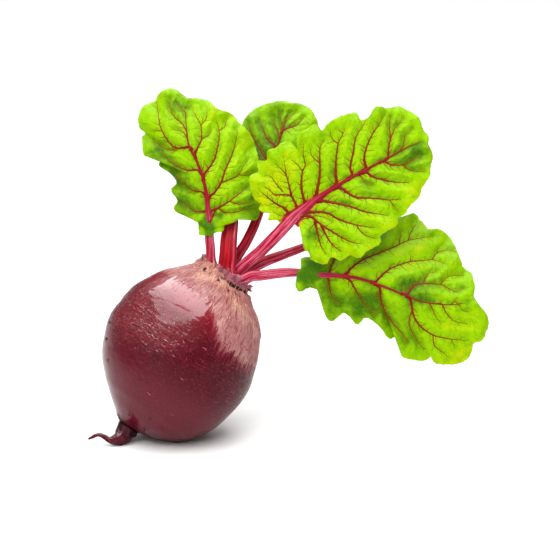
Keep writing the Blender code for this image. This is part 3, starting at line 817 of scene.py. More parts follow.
class Finish:
    """One procedural material and the nodes that build it."""

    def __init__(self, name):
        self.material = bpy.data.materials.new(name)
        self.material.use_nodes = True
        self.tree = self.material.node_tree
        self.shader = self.tree.nodes["Principled BSDF"]

    def node(self, kind, settings, inputs, output=None):
        """Adds a node and gives the output that is named, or else the one in use."""
        made = add_node(self.tree, kind, settings, inputs)
        if output:
            return Number(self, made.outputs[output])
        return Number(self, next(item for item in made.outputs if item.enabled))

    def numbers(self, *names):
        """Reads the numbers that the mesh carries under these names."""
        return [self.node("ShaderNodeAttribute", {"attribute_name": name}, {}, "Fac") for name in names]

    def place(self, name=None):
        """Reads a vector that the mesh carries, or else the object's own coordinates."""
        if name:
            return self.node("ShaderNodeAttribute", {"attribute_name": name}, {}, "Vector")
        return self.node("ShaderNodeTexCoord", {}, {}, "Object")

    def grain(self, place, scale, detail=3.0, roughness=0.5, distortion=0.0):
        """Noise from 0 to 1, with one scale or with one for each direction."""
        if isinstance(scale, tuple):
            stretched = {"Vector": place, "Vector_001": scale}
            place = self.node("ShaderNodeVectorMath", {"operation": "MULTIPLY"}, stretched)
            scale = 1.0
        inputs = {"Vector": place, "Scale": scale, "Detail": detail}
        inputs.update({"Roughness": roughness, "Distortion": distortion})
        return self.node("ShaderNodeTexNoise", {}, inputs)

    def cells(self, place, scale, feature="F1"):
        """Distance within cells of about 1 / scale."""
        return self.node("ShaderNodeTexVoronoi", {"feature": feature}, {"Vector": place, "Scale": scale})

    def rise(self, value, low, high):
        """Rises smoothly from 0 at low to 1 at high."""
        settings = {"interpolation_type": "SMOOTHSTEP"}
        return self.node("ShaderNodeMapRange", settings, {"Value": value, "From Min": low, "From Max": high})

    def blend(self, share, first, second):
        """Mixes two colours."""
        settings = {"data_type": "RGBA", "clamp_factor": True}
        inputs = {"Factor_Float": share, "A_Color": first, "B_Color": second}
        return self.node("ShaderNodeMix", settings, inputs)

    def paint(self, under, value, span, colour, strength=None):
        """Lays a screen colour over another colour where a value rises through a span."""
        share = self.rise(value, *span)
        if strength is not None:
            share = share * strength
        if isinstance(under, tuple):
            under = linear(*under)
        return self.blend(share, under, linear(*colour))

    def bump(self, height, distance, strength=1.0):
        """Turns a height from 0 to 1 into a tilt of the surface."""
        inputs = {"Height": height, "Distance": distance, "Strength": strength}
        return self.node("ShaderNodeBump", {}, inputs)

    def wear(self, **sockets):
        """Sets the shader's sockets, named in plain words, and gives the material."""
        for name, value in sockets.items():
            label = name.replace("_", " ").title().replace("Ior", "IOR")
            fill(self.tree, self.shader.inputs[label], value)
        return self.material


def skin_finish(settings):
    """Glossy plum skin, ringed round its middle and redder towards the top as painted light, that turns
    corky, tan and streaked towards the crown.
    """
    finish = Finish("root_skin_finish")
    turned = finish.place("turned")
    place = finish.place()
    cork, bark, upper, pit, tap, band = finish.numbers("cork", "bark", "upper", "pit", "tap", "band")
    mottle = finish.grain(place, 60.0, 4.0, 0.6)
    fine_mottle = finish.grain(place, 320.0, 3.0, 0.6)
    broad = finish.grain(place, 26.0, 2.0)
    streaks = finish.grain(turned, (24.0, 24.0, 5.5), 5.0, 0.65, 0.6)
    fine_streaks = finish.grain(turned, (64.0, 64.0, 15.0), 3.0, 0.6, 0.6)
    rings = finish.grain(turned, (9.0, 9.0, 70.0), 4.0, 0.65, 0.8)
    fine_rings = finish.grain(turned, (26.0, 26.0, 150.0), 3.0, 0.65, 0.5)
    specks = finish.rise(finish.cells(place, 700.0), 0.2, 0.05)

    # Crimson comes in towards the top as painted light, and in random patches.
    lit_and_mottled_red = finish.rise(upper + (broad - 0.5) * 1.2 + (mottle - 0.5) * 0.8, 0.1, 1.0)
    deep = finish.blend(lit_and_mottled_red, settings.plum, settings.crimson)
    ringed = finish.paint(deep, rings, (0.52, 0.72), (134, 28, 44), band * 0.3 + 0.06)
    dusky = finish.paint(ringed, fine_rings, (0.42, 0.6), (44, 2, 8), band * 0.75 + 0.12)
    rosy_skin_and_sheen = finish.paint((150, 60, 74), mottle, (0.35, 0.65), (126, 28, 46))
    corky = finish.paint(settings.cork, fine_mottle, (0.3, 0.7), (158, 94, 96))
    peach = finish.paint(corky, bark + broad + mottle * 0.8, (1.85, 2.1), (184, 124, 96))
    pale_cork = finish.paint(peach, mottle, (0.5, 0.64), (204, 162, 150), 0.5)
    furrowed = finish.paint(pale_cork, streaks, (0.53, 0.6), (132, 46, 54), 0.8)
    flecked = finish.paint(furrowed, fine_streaks, (0.55, 0.68), (196, 156, 138), 0.45)
    scored = finish.paint(flecked, fine_streaks, (0.43, 0.36), (98, 34, 38), 0.6)
    edge = cork + ((streaks - 0.5) * 1.6 + (mottle - 0.5) * 0.6) * finish.rise(cork, 0.0, 0.25)
    # Below the cork's edge the skin turns rosy: partly its own paler colour and partly painted sheen of the
    # gloss patch.
    washed = finish.blend(finish.rise(edge, 0.2, 0.55) * 0.6, dusky, rosy_skin_and_sheen)
    cover = finish.rise(edge, 0.45, 0.7)
    skin = finish.blend(cover, washed, scored)
    woody = finish.paint((36, 12, 18), fine_mottle, (0.4, 0.62), (82, 34, 42))
    rooted = finish.blend(tap, skin, woody)
    pale_specks = finish.blend(specks * (1.0 - tap) * 0.3, rooted, linear(176, 104, 104))
    # Dark pits, and painted shade in the crown's crevice.
    pitted = finish.rise(pit + (mottle - 0.5) * 0.5, 0.2, 0.7)
    colour = finish.blend(pitted, pale_specks, linear(46, 12, 18))

    relief = rings * (band * 0.5 + 0.05) + fine_rings * (band * 0.4 + 0.05) + mottle * 0.08
    corky_relief = (streaks * 0.6 + fine_streaks * 0.25 + fine_mottle * 0.1) * finish.rise(edge, 0.2, 0.8)
    height = relief + corky_relief * (bark * 0.7 + 0.3) + tap * fine_mottle * 0.5
    dull = finish.rise(bark * 0.7 + cover * 0.5 + (streaks - 0.5) * 0.8, 0.3, 0.8)
    return finish.wear(
        base_color=colour,
        roughness=settings.roughness + dull * 0.3 + (mottle - 0.5) * 0.1 + (tap + pitted) * 0.3,
        coat_weight=(1.0 - dull * 0.9) * (1.0 - band * 0.6) * (1.0 - tap) * (1.0 - pitted) * settings.gloss,
        coat_roughness=0.09,
        specular_ior_level=0.05,
        normal=finish.bump(height, 1.0 * MM, 0.9),
    )


def flap_finish():
    """Dry leaf bases: dusty purple with tan torn edges."""
    finish = Finish("crown_flap_finish")
    place = finish.place()
    strand = finish.place("strand")
    brown, edge = finish.numbers("brown", "edge")
    fibres = finish.grain(strand, (26.0, 26.0, 2.0), 4.0, 0.6)
    mottle = finish.grain(place, 260.0, 3.0)
    purple = finish.paint((116, 26, 50), fibres, (0.4, 0.56), (190, 108, 130))
    tan = finish.paint((118, 60, 44), mottle, (0.4, 0.62), (206, 152, 118))
    body = finish.blend(finish.rise(brown + mottle * 0.5, 0.35, 0.8), purple, tan)
    torn = finish.paint(body, edge + fibres * 0.6, (1.1, 1.4), (200, 140, 146), 0.7)
    return finish.wear(
        base_color=torn,
        roughness=0.4 + mottle * 0.2,
        specular_ior_level=0.2,
        normal=finish.bump(fibres * 0.8 + mottle * 0.3, 1.0 * MM, 0.9),
    )


def scale_finish():
    """Corky flakes on the crown's shoulder."""
    finish = Finish("cork_scale_finish")
    mottle = finish.grain(finish.place(), 420.0, 3.0)
    broad = finish.grain(finish.place(), 70.0, 2.0)
    tan = finish.paint((166, 98, 88), mottle, (0.38, 0.66), (206, 160, 136))
    colour = finish.paint(tan, broad, (0.42, 0.6), (150, 78, 82))
    return finish.wear(
        base_color=colour,
        roughness=0.5 + mottle * 0.2,
        specular_ior_level=0.15,
        normal=finish.bump(mottle, 0.3 * MM, 0.5),
    )


def mottled(finish, scale, first, second):
    """Gives noise of one scale on a small piece, and a colour that the noise mottles with another."""
    mottle = finish.grain(finish.place(), scale, 3.0)
    return mottle, finish.paint(first, mottle, (0.35, 0.65), second)


def dash_finish():
    """Raised corky dashes on the smooth skin."""
    finish = Finish("skin_dash_finish")
    mottle, colour = mottled(finish, 500.0, (112, 16, 36), (150, 58, 74))
    roughness = 0.5 + mottle * 0.15
    bump = finish.bump(mottle, 0.2 * MM, 0.5)
    return finish.wear(base_color=colour, roughness=roughness, specular_ior_level=0.1, normal=bump)


def fleck_finish():
    """Glossy flecks of the ringed skin."""
    finish = Finish("skin_fleck_finish")
    mottle, colour = mottled(finish, 90.0, (84, 4, 20), (128, 16, 36))
    gloss = {"specular_ior_level": 0.05, "coat_weight": 0.8, "coat_roughness": 0.12}
    return finish.wear(base_color=colour, roughness=0.3 + mottle * 0.1, **gloss)


def rootlet_finish():
    """Fine dark red root hairs."""
    finish = Finish("rootlet_finish")
    mottle, colour = mottled(finish, 700.0, (92, 36, 48), (172, 118, 112))
    return finish.wear(base_color=colour, roughness=0.6 + mottle * 0.1)


def stalk_finish(settings):
    """Juicy ridged stalk: crimson with pink strands, painted shade in the grooves between its ridges, painted
    highlight lines where it is pale, browner where it becomes a rib.
    """
    finish = Finish("stalk_finish")
    strand = finish.place("strand")
    pale, rib, ridge = finish.numbers("pale", "rib", "ridge")
    strands = finish.grain(strand, (3.2, 3.2, 0.05), 3.0, 0.6)
    fine = finish.grain(strand, (8.0, 8.0, 0.07), 3.0, 0.6)
    patches = finish.grain(strand, (1.0, 1.0, 0.35), 2.0)
    lively = finish.blend(pale, settings.crimson, settings.pink)
    dark = finish.blend(pale, linear(116, 0, 14), linear(148, 18, 48))
    # The grooves between the ridges take the dark red as painted shade; the strands' noise gives real dark
    # and bright stripes.
    striped = finish.blend(finish.rise(strands + ridge * 0.35, 0.4, 0.66), dark, lively)
    # Bright pink lines where the stalk is pale are painted highlights.
    highlight_lines = finish.paint(striped, fine, (0.53, 0.62), (226, 136, 160), pale * 0.65)
    lined = finish.paint(highlight_lines, fine, (0.46, 0.38), (140, 12, 42), pale * 0.6)
    shaded = finish.paint(lined, patches, (0.5, 0.7), (132, 10, 34), 0.3)
    older = finish.paint(shaded, rib, (0.0, 0.34), (142, 12, 36), 0.95)
    tip = finish.paint((104, 26, 14), fine, (0.4, 0.65), (136, 56, 22))
    colour = finish.blend(finish.rise(rib, 0.2, 0.85), older, tip)
    return finish.wear(
        base_color=colour,
        roughness=0.4 + fine * 0.12,
        specular_ior_level=0.03,
        # The emission is a painted glow that stands in for light held in the juicy tissue.
        emission_color=colour,
        emission_strength=settings.glow,
        normal=finish.bump(strands * 0.6 + fine * 0.3, 0.5 * MM, 0.6),
    )


def blade_finish(settings):
    """Soft green leaf: yellow-green panels with painted light and shade, painted shade in the valleys along
    the veins, and a fine net of veins.
    """
    finish = Finish("blade_finish")
    plan = finish.place("plan")
    tone, valley, flush, rim, back = finish.numbers("tone", "valley", "flush", "rim", "back")
    broad = finish.grain(plan, 0.9, 3.0, 0.55)
    mottle = finish.grain(plan, 3.6, 3.0, 0.6)
    fine = finish.grain(plan, 14.0, 3.0, 0.6)
    # Thin crease lines are darkened in the colour as painted fold shadow, and also cut into the bump.
    crinkle = finish.grain(plan, 2.2, 2.0, 0.5, 0.9)
    crease = finish.rise(crinkle, 0.465, 0.5) * finish.rise(crinkle, 0.535, 0.5)
    fine_net = finish.rise(finish.cells(plan, 9.0, "DISTANCE_TO_EDGE"), 0.16, 0.02)
    # The painted light and shade of tone, the painted valley shade and random mottle move the green towards
    # dark green shade or lit yellow.
    light_shade_and_mottle = tone + (broad - 0.5) * 0.9 + (mottle - 0.5) * 0.8 + (fine - 0.5) * 0.6 - valley * 0.5
    shaded_green = finish.blend(finish.rise(light_shade_and_mottle, -1.35, 0.0), settings.dark_green, settings.green)
    lit_green = finish.blend(finish.rise(light_shade_and_mottle, 0.0, 1.0), shaded_green, settings.yellow)
    netted = finish.blend(crease * 0.4 + fine_net * 0.06, lit_green, linear(84, 136, 4))
    edged = finish.paint(netted, rim, (0.97, 1.0), (196, 216, 60), 0.15)
    warmed = finish.paint(edged, flush + (mottle - 0.5) * 0.4, (0.1, 0.5), (190, 138, 6), 0.55)
    blushed = finish.paint(warmed, flush + (mottle - 0.5) * 0.8, (0.5, 0.8), (158, 24, 44))
    colour = finish.blend(back * 0.35, blushed, linear(122, 156, 62))
    height = mottle * 0.5 + fine * 0.12 - crease * 0.35 - fine_net * 0.1
    return finish.wear(
        base_color=colour,
        roughness=0.52 + mottle * 0.14,
        specular_ior_level=0.03,
        # The emission is a painted glow that stands in for light coming through the thin blade.
        emission_color=colour,
        emission_strength=settings.glow,
        normal=finish.bump(height, 0.6 * MM, 0.7),
    )


def vein_finish(settings):
    """Veins: crimson at the rib, then red-brown, and dull olive where the twigs run out."""
    finish = Finish("vein_finish")
    (age,) = finish.numbers("age")
    place = finish.place()
    mottle = finish.grain(place, 380.0, 3.0)
    young = finish.rise(age + (mottle - 0.5) * 0.3, 0.0, 0.34)
    older = finish.blend(young, settings.crimson, settings.russet)
    colour = finish.blend(finish.rise(age, 0.5, 1.05) * 0.8, older, settings.olive)
    return finish.wear(
        base_color=colour,
        roughness=0.46 + mottle * 0.12,
        specular_ior_level=0.05,
        # The emission is a painted glow that stands in for light coming through the veins.
        emission_color=colour,
        emission_strength=settings.glow,
        normal=finish.bump(mottle, 0.25 * MM, 0.5),
    )


# The root


def taproot_line():
    """Gives the taproot's middle line from the globe's neck to its tip, with its radius."""
    neck = by_axis(NECK_HEIGHT, NECK_SHIFT, 0)
    return [(*neck, NECK_RADIUS)] + TAPROOT


def taproot_rings(cos, sin):
    """Gives the taproot's rings below the neck in plan millimetres, and the run down to each."""
    tail = curve_at(taproot_line(), np.linspace(0, 1, TAPROOT_RINGS + 1))
    run = length_along(tail[:, :3])
    turn = fade(run, 0, NECK_TURN)[:, None]
    heading = unit((1 - turn) * -AXIS + turn * unit(np.gradient(tail[:, :3], axis=0)))
    side = unit(np.cross(NEAR, heading))
    raised = np.cross(heading, side)
    ring = side[:, None] * cos[:, None] + raised[:, None] * sin[:, None]
    rings = tail[:, None, :3] + tail[:, None, 3:] * ring
    return rings[1:], run[1:]


def root_plan():
    """Gives the root's rings in plan millimetres, the run along its outline, and each ring's height."""
    bearing = np.linspace(0, 2 * np.pi, ROOT_SIDES, endpoint=False)
    cos, sin = np.cos(bearing), np.sin(bearing)
    disc = np.linspace(0.02, 1, CROWN_RINGS, endpoint=False) * CROWN_RADIUS
    globe = curve_at(ROOT_OUTLINE, np.linspace(0, 1, GLOBE_RINGS))
    along = np.concatenate((np.full(CROWN_RINGS, CROWN_HEIGHT), globe[:, 0]))
    radius = np.concatenate((disc, globe[:, 1]))
    shift = np.concatenate((np.full(CROWN_RINGS, CROWN_SHIFT), globe[:, 2]))
    across = shift[:, None] + radius[:, None] * cos
    body = by_axis(along[:, None] + 0 * cos, across, radius[:, None] * sin)
    tail, tail_run = taproot_rings(cos, sin)
    body_run = run_of(np.column_stack((along, radius)))
    run = np.concatenate((body_run, body_run[-1] + tail_run))
    heights = np.concatenate((along, NECK_HEIGHT - tail_run))
    return np.concatenate((body, tail)), run, heights, bearing


def root_pits(plan):
    """Gives how far each point of the root lies in one of the dark pits read on the front, from 0 to 1."""
    pits = np.zeros(plan.shape[:2])
    for right, up, size in SKIN_PITS:
        away = np.hypot(plan[..., 0] - right, plan[..., 1] - up)
        pits = np.maximum(pits, np.exp(-((away / size) ** 2)) * (plan[..., 2] > 0))
    return pits


def crown_hollows(plan, height, bearing):
    """Gives how far each point lies in the crown's rough pits, or in the crevice under its right rim; the
    finish paints both dark, in the crevice as painted shade.
    """
    pits = fade(rough(plan, 2.6, 10) + 0.2 * rough(plan, 0.9, 15), 0.3, 0.5) * fade(height, 40.5, 45)
    crevice = np.exp(-(((height - 47.6 + 1.0 * rough(plan, 6.0, 16)) / 1.1) ** 2))
    facing = np.cos(bearing - math.radians(42))[None, :]
    return np.maximum(pits, crevice * fade(facing + 0.3 * rough(plan, 4.0, 18), 0.3, 0.9))


def root_relief(plan, run, heights, bearing, settings):
    """Gives how far each point of the root stands out, and the attributes that its finish reads."""
    cos = np.cos(bearing)[None, :]
    ones = np.ones((len(run), len(bearing)))
    height = heights[:, None]
    sides = (cos * ones, np.sin(bearing)[None, :] * ones)
    turned = np.stack((*sides, run[:, None] / GLOBE_RADIUS * ones), axis=-1)
    lean = CORK_LEAN * fade(cos, -0.05, 0.5)
    cork = fade(height + lean, *CORK_FADE)
    bark = fade(height + 0.7 * lean, *BARK_FADE)
    # Painted light: the skin is redder towards the top, where the light falls
    upper = fade(0.8 * plan[..., 1] + 0.2 * height, *TOP_LIGHT_FADE)
    disc = fade(height, *DISC_FADE) * ones
    shoulder = fade(height, *SHOULDER_FADE) * (1 - disc)
    band = fade(height, *BAND_START) * (1 - fade(height, *BAND_END)) * ones
    tap = fade(-height + 1.6 * rough(plan, 3.0, 12), *TAPROOT_FADE)
    tail_end = fade(-height, *TAIL_FADE) * ones
    swell = np.exp(-(((height - SWELL_HEIGHT) / SWELL_REACH) ** 2)) * fade(-cos, 0.2, 0.9)

    relief = settings.dent_depth / MM * rough(plan, 21.0, 1) + 0.05 * rough(plan, 6.5, 2)
    relief = relief + SWELL_DEPTH * swell
    relief = relief + 0.13 * rough(turned * (7, 7, 30), 1.0, 3) * (band + 0.25)
    relief = relief + 0.07 * rough(turned * (14, 14, 46), 1.0, 17) * band
    streaks = 0.36 * rough(turned * (13, 13, 5.5), 1.0, 4) + 0.18 * rough(turned * (27, 27, 13.0), 1.0, 5)
    relief = relief * (1 - tap * 0.6) + streaks * cork * settings.streak_depth / (0.4 * MM) * (1 - tap)
    relief = relief + disc * (1.3 * rough(plan, 3.4, 6) + 0.7 * rough(plan, 1.5, 7))
    relief = relief + shoulder * (0.7 * rough(plan, 3.0, 13) + 0.35 * rough(plan, 1.3, 14))
    wrinkles = rough(turned * (2.6, 2.6, 52), 1.0, 8) + 0.9 * rough(plan, 1.7, 9)
    relief = relief + tap * (1 - tail_end * 0.8) * 0.6 * wrinkles
    pits = root_pits(plan)
    hollows = crown_hollows(plan, height, bearing)
    relief = relief - PIT_DEPTH * pits - CROWN_PIT_DEPTH * hollows
    attributes = {
        "turned": turned,
        "cork": cork,
        "upper": upper,
        "bark": bark,
        # Dark pits, and the crown's hollows darkened too; in the crevice that darkness is painted shade
        "pit": np.clip(pits * 0.9 + hollows * 0.8, 0, 1),
        "tap": tap * (1 - tail_end * 0.55),
        "band": band,
    }
    return relief, attributes


def close_tube(numbers, top, end):
    """Gives the triangles that close a tube's two ends, each round its own middle point."""
    first, last = numbers[0].tolist(), numbers[-1].tolist()
    faces = []
    for side in range(len(first)):
        after = (side + 1) % len(first)
        faces.append((top, first[after], first[side]))
        faces.append((end, last[side], last[after]))
    return faces


def make_root(settings, material):
    """Makes the globe, crown and taproot as one closed skin, pressed flat where it rests."""
    plan, run, heights, bearing = root_plan()
    relief, attributes = root_relief(plan, run, heights, bearing, settings)
    numbers = np.arange(plan.shape[0] * ROOT_SIDES).reshape(plan.shape[0], ROOT_SIDES)
    faces = strip_faces(numbers, True)
    flat_plan = plan.reshape(-1, 3)
    normals = point_normals(flat_plan, faces)
    points = seen(flat_plan + normals * relief.reshape(-1, 1))
    height = points[:, 2] / MM
    pressed = np.maximum(height - FLAT_BELOW, 0) * BENT_BELOW / (BENT_BELOW - FLAT_BELOW)
    points[:, 2] = np.where(height < BENT_BELOW, pressed, height) * MM
    top, end = len(points), len(points) + 1
    ends = [points[numbers[0]].mean(axis=0), points[numbers[-1]].mean(axis=0)]
    values = {}
    for key, value in attributes.items():
        flat = value.reshape(len(flat_plan), -1)
        whole = np.concatenate((flat, flat[[numbers[0, 0], numbers[-1, 0]]]))
        values[key] = whole if value.ndim == 3 else whole[:, 0]
    skin = faces.tolist() + close_tube(numbers, top, end)
    return add_piece("root_skin", np.concatenate((points, ends)), skin, material, values)


def surface_tree(piece):
    """Gives a search tree of a piece's surface."""
    mesh = piece.data
    places = [vertex.co.copy() for vertex in mesh.vertices]
    return BVHTree.FromPolygons(places, [tuple(face.vertices) for face in mesh.polygons])


def drop_line(tree, line):
    """Drops a plan line onto a surface from the front, as far as it meets it: places and normals."""
    back = -world_way((0, 0, 1))
    starts = seen(np.column_stack((line, np.full(len(line), DROP_FROM))))
    places, normals = [], []
    for start in starts:
        place, normal, _, _ = tree.ray_cast(Vector(start), back)
        if place is None:
            break
        places.append(place)
        normals.append(normal if normal.dot(back) < 0 else -normal)
    return places, normals


def cast_in(tree, height, shift, way):
    """Meets a surface from outside, at a height on the root's axis: the way out, the place and the normal."""
    heading = world_way(way)
    start = Vector(seen(by_axis(height, shift, 0).ravel()))
    place, normal, _, _ = tree.ray_cast(start + heading * CAST_REACH, -heading)
    return heading, place, normal


def add_strands(name, strands, group, material, sides):
    """Makes tapering strands as one piece. A strand holds places, normals, half widths, lifts and ages."""
    places, edges = [], []
    normals, widths, lifts, ages = [], [], [], []
    for strand in strands:
        first = len(places)
        places += [tuple(place) for place in strand[0]]
        edges += [(number, number + 1) for number in range(first, len(places) - 1)]
        normals += [tuple(normal) for normal in strand[1]]
        widths += list(strand[2])
        lifts += list(strand[3])
        ages += list(strand[4])
    values = {
        "facing": np.array(normals),
        "centre": np.array(places),
        "radius": np.array(widths) * MM,
        "lift": np.array(lifts),
        "age": np.array(ages),
    }
    piece = add_piece(name, np.array(places), [], None, values, edges)
    return grow(piece, group, {"Sides": sides, "Material": material})


def front_dashes(tree, rng):
    """Gives the dashes read on the front: places, normals and half width."""
    t = np.linspace(-0.5, 0.5, 9)
    lines = []
    for right, up, length, tilt in SKIN_DASHES:
        angle = math.radians(tilt)
        wander = 0.25 * np.sin(t * 6 + right)
        rights = right + length * t * math.cos(angle)
        ups = up + length * t * math.sin(angle) + wander
        width = rng.uniform(0.24, 0.32) + 0.04 * length
        lines.append((*drop_line(tree, np.column_stack((rights, ups))), width))
    return lines


def scattered_dashes(tree, rng):
    """Gives fine dashes all round the globe: places, normals and half width."""
    lines = []
    for _ in range(SCATTERED_DASHES):
        along = rng.uniform(*DASH_HEIGHTS)
        bearing = rng.uniform(0, 2 * math.pi)
        spread = rng.uniform(1.5, 4.5) / GLOBE_RADIUS
        places, normals = [], []
        for step in np.linspace(-0.5, 0.5, 7):
            angle = bearing + spread * step
            way = by_axis(along * 0.02, math.cos(angle), math.sin(angle)).ravel()
            _, place, normal = cast_in(tree, along, 0, way)
            if place is not None and place.z > 1.5 * MM:
                places.append(place)
                normals.append(normal)
        lines.append((places, normals, rng.uniform(0.1, 0.2)))
    return lines


def dash_lines(tree, rng):
    """Gives the raised corky dashes as strands, thickest in their middle."""
    strands = []
    for places, normals, width in front_dashes(tree, rng) + scattered_dashes(tree, rng):
        if len(places) < 5:
            continue
        t = np.linspace(-1, 1, len(places))
        widths = width * np.sqrt(np.clip(1 - t**2, 0.03, 1))
        strands.append((places, normals, widths, np.full(len(places), DASH_LIFT), np.zeros(len(places))))
    return strands


def rootlet_lines(rng, count):
    """Gives fine hairs that leave the taproot sideways and droop."""
    line = taproot_line()
    shares = np.linspace(0, 1, ROOTLET_POINTS)
    strands = []
    for number in range(count):
        share = 0.15 + 0.8 * (number + rng.random()) / count
        right, up, near, radius = curve_at(line, np.array([share]))[0]
        angle = rng.uniform(0, 2 * math.pi)
        way = unit(np.array((-0.5 * rng.random(), math.cos(angle), math.sin(angle))))
        length = rng.uniform(1.5, 4.0)
        points = []
        for t in shares:
            curl = 0.5 * math.sin(t * 5 + number) * t
            place = np.array((right, up, near)) + way * (radius * 0.7 + length * t)
            points.append(place + np.array((-1.2 * t * t + curl * 0.4, curl * 0.6, curl * 0.3)))
        places = seen(np.array(points))
        places[:, 2] = np.maximum(places[:, 2], 0.15 * MM)
        widths = ROOTLET_WIDTH * (1 - 0.75 * shares)
        normals = np.tile((0.0, 0.0, 1.0), (ROOTLET_POINTS, 1))
        strands.append((places, normals, widths, np.ones(ROOTLET_POINTS), np.zeros(ROOTLET_POINTS)))
    return strands


def crown_way(bearing):
    """Gives the outward plan direction at a bearing round the root's axis."""
    return ACROSS * math.cos(bearing) + NEAR * math.sin(bearing)


def flap_points(spec, seed):
    """Gives one torn leaf base: both faces of a curled plate, and its attributes."""
    bearing, width, height, lean, brown = spec
    u = np.linspace(-1, 1, FLAP_COLUMNS)[None, :]
    v = np.linspace(0, 1, FLAP_ROWS)[:, None]
    base = math.radians(bearing)
    spot = np.stack((u * 1.7 + 0 * v, v * 1.3 + 0 * u, 0 * u * v + seed), axis=-1)
    ragged = 1 + 0.35 * rough(spot, 1.3, seed) * v + 0.12 * rough(spot, 0.5, seed + 9) * v
    ragged = ragged * (1 - 0.35 * u**4)
    angle = base + u * width / 2 / CROWN_RADIUS * (1 - 0.35 * v**2)
    tilt = math.radians(lean) * (0.55 + 0.6 * v)
    reach = height * v * ragged
    fold = 1.5 * v * np.sin(u * 3.2 + seed * 1.7) + 1.0 * v * rough(spot, 0.9, seed + 3)
    out = CROWN_RADIUS + FLAP_GAP + reach * np.sin(tilt) + 0.6 * fold
    rise = CROWN_HEIGHT - FLAP_SINK + reach * np.cos(tilt)
    thick = FLAP_THICKNESS * (1 - 0.6 * v) * (1 - 0.75 * np.abs(u) ** 3) + FLAP_EDGE
    faces = []
    for face in (1, -1):
        away = out + face * thick / 2
        place = by_axis(rise + 0 * u, CROWN_SHIFT + away * np.cos(angle), away * np.sin(angle))
        faces.append(place.reshape(-1, 3))
    edge = np.maximum(np.abs(u) + 0 * v, v + 0 * u)
    strand = np.stack((u * width / 8 + 0 * v, 0 * u * v + seed, v * height + 0 * u), axis=-1)
    return np.concatenate(faces), np.tile(edge.ravel(), 2), np.tile(strand.reshape(-1, 3), (2, 1)), brown


def shell_faces(numbers, count):
    """Gives the quads of both faces and the rim of a plate; the second face's numbers start at count."""
    front = strip_faces(numbers, False)
    rim = np.concatenate((numbers[0, :-1], numbers[:-1, -1], numbers[-1, :0:-1], numbers[:0:-1, 0]))
    after = np.roll(rim, -1)
    side = np.stack((after, rim, rim + count, after + count), axis=-1)
    return np.concatenate((front, front[:, ::-1] + count, side))


def make_flaps(material):
    """Makes all the torn leaf bases round the crown as one piece."""
    points, faces, edges, strands, browns = [], [], [], [], []
    count = FLAP_COLUMNS * FLAP_ROWS
    numbers = np.arange(count).reshape(FLAP_ROWS, FLAP_COLUMNS)
    for seed, spec in enumerate(CROWN_FLAPS):
        place, edge, strand, brown = flap_points(spec, seed)
        faces.append(shell_faces(numbers, count)[:, ::-1] + seed * 2 * count)
        points.append(place)
        edges.append(edge)
        strands.append(strand)
        browns.append(np.full(len(edge), brown))
    values = {
        "edge": np.concatenate(edges),
        "strand": np.concatenate(strands),
        "brown": np.concatenate(browns),
    }
    places = seen(np.concatenate(points))
    return add_piece("crown_flaps", places, np.concatenate(faces).tolist(), material, values)


def scale_shape():
    """Makes one small flake, a low dome longer than it is wide, one millimetre in size."""
    points = [(0, 0, 0.5)]
    faces = []
    sides = 8
    for size, height in ((0.6, 0.32), (1.0, -0.25)):
        for side in range(sides):
            angle = 2 * math.pi * side / sides
            points.append((size * math.cos(angle), 0.42 * size * math.sin(angle), height))
    for side in range(sides):
        after = (side + 1) % sides
        faces.append((0, 1 + side, 1 + after))
        faces.append((1 + side, 1 + sides + side, 1 + sides + after, 1 + after))
    faces.append(tuple(range(2 * sides, sides, -1)))
    mesh = bpy.data.meshes.new("scale_shape")
    mesh.from_pydata([Vector(point) * MM for point in points], [], faces)
    mesh.shade_smooth()
    return bpy.data.objects.new("scale_shape", mesh)


def set_flakes(name, flakes, group, material):
    """Sets a low dome at each flake's place. A flake holds its place, normal, long way and size."""
    places, facings, alongs, sizes = [np.array([tuple(part) for part in column]) for column in zip(*flakes)]
    piece = add_piece(name, places, [], None, {"facing": facings, "along": alongs, "size": sizes})
    return grow(piece, group, {"Shape": scale_shape(), "Material": material})


def make_flecks(tree, rng, group, material):
    """Sets low glossy flecks, drawn out round the globe, on the ringed band below the gloss."""
    flakes = []
    while len(flakes) < SKIN_FLECKS:
        height = rng.triangular(*FLECK_HEIGHTS)
        bearing = rng.uniform(0, 2 * math.pi)
        heading, place, normal = cast_in(tree, height, 0, crown_way(bearing))
        if place is None or place.z < FLECK_CLEARANCE * MM:
            continue
        size = rng.uniform(0.32, 0.72)
        sizes = (size * rng.uniform(1.2, 2.4), size, size * rng.uniform(0.25, 0.5))
        flakes.append((place - normal * 0.02 * MM, normal, heading.cross(world_way(AXIS)), sizes))
    return set_flakes("skin_flecks", flakes, group, material)


def make_scales(tree, rng, group, material):
    """Sets corky flakes over the crown's shoulder, thickest at the rim."""
    reach = SCALE_TOP - SCALE_END
    down = -world_way(AXIS)
    flakes = []
    while len(flakes) < CROWN_SCALES:
        height = SCALE_TOP - reach * rng.random() ** 1.9
        bearing = rng.uniform(0, 2 * math.pi)
        _, place, normal = cast_in(tree, height, CROWN_SHIFT * 0.5, crown_way(bearing))
        if place is None:
            continue
        along = down + Vector((rng.uniform(-0.3, 0.3), rng.uniform(-0.3, 0.3), 0.0))
        size = rng.uniform(0.45, 1.1) * (0.6 + 0.6 * (height - SCALE_END) / reach)
        sizes = (size * rng.uniform(1.2, 3.0), size, size * rng.uniform(0.3, 0.7))
        flakes.append((place, normal, along, sizes))
    return set_flakes("crown_scales", flakes, group, material)


# Stalks and ribs


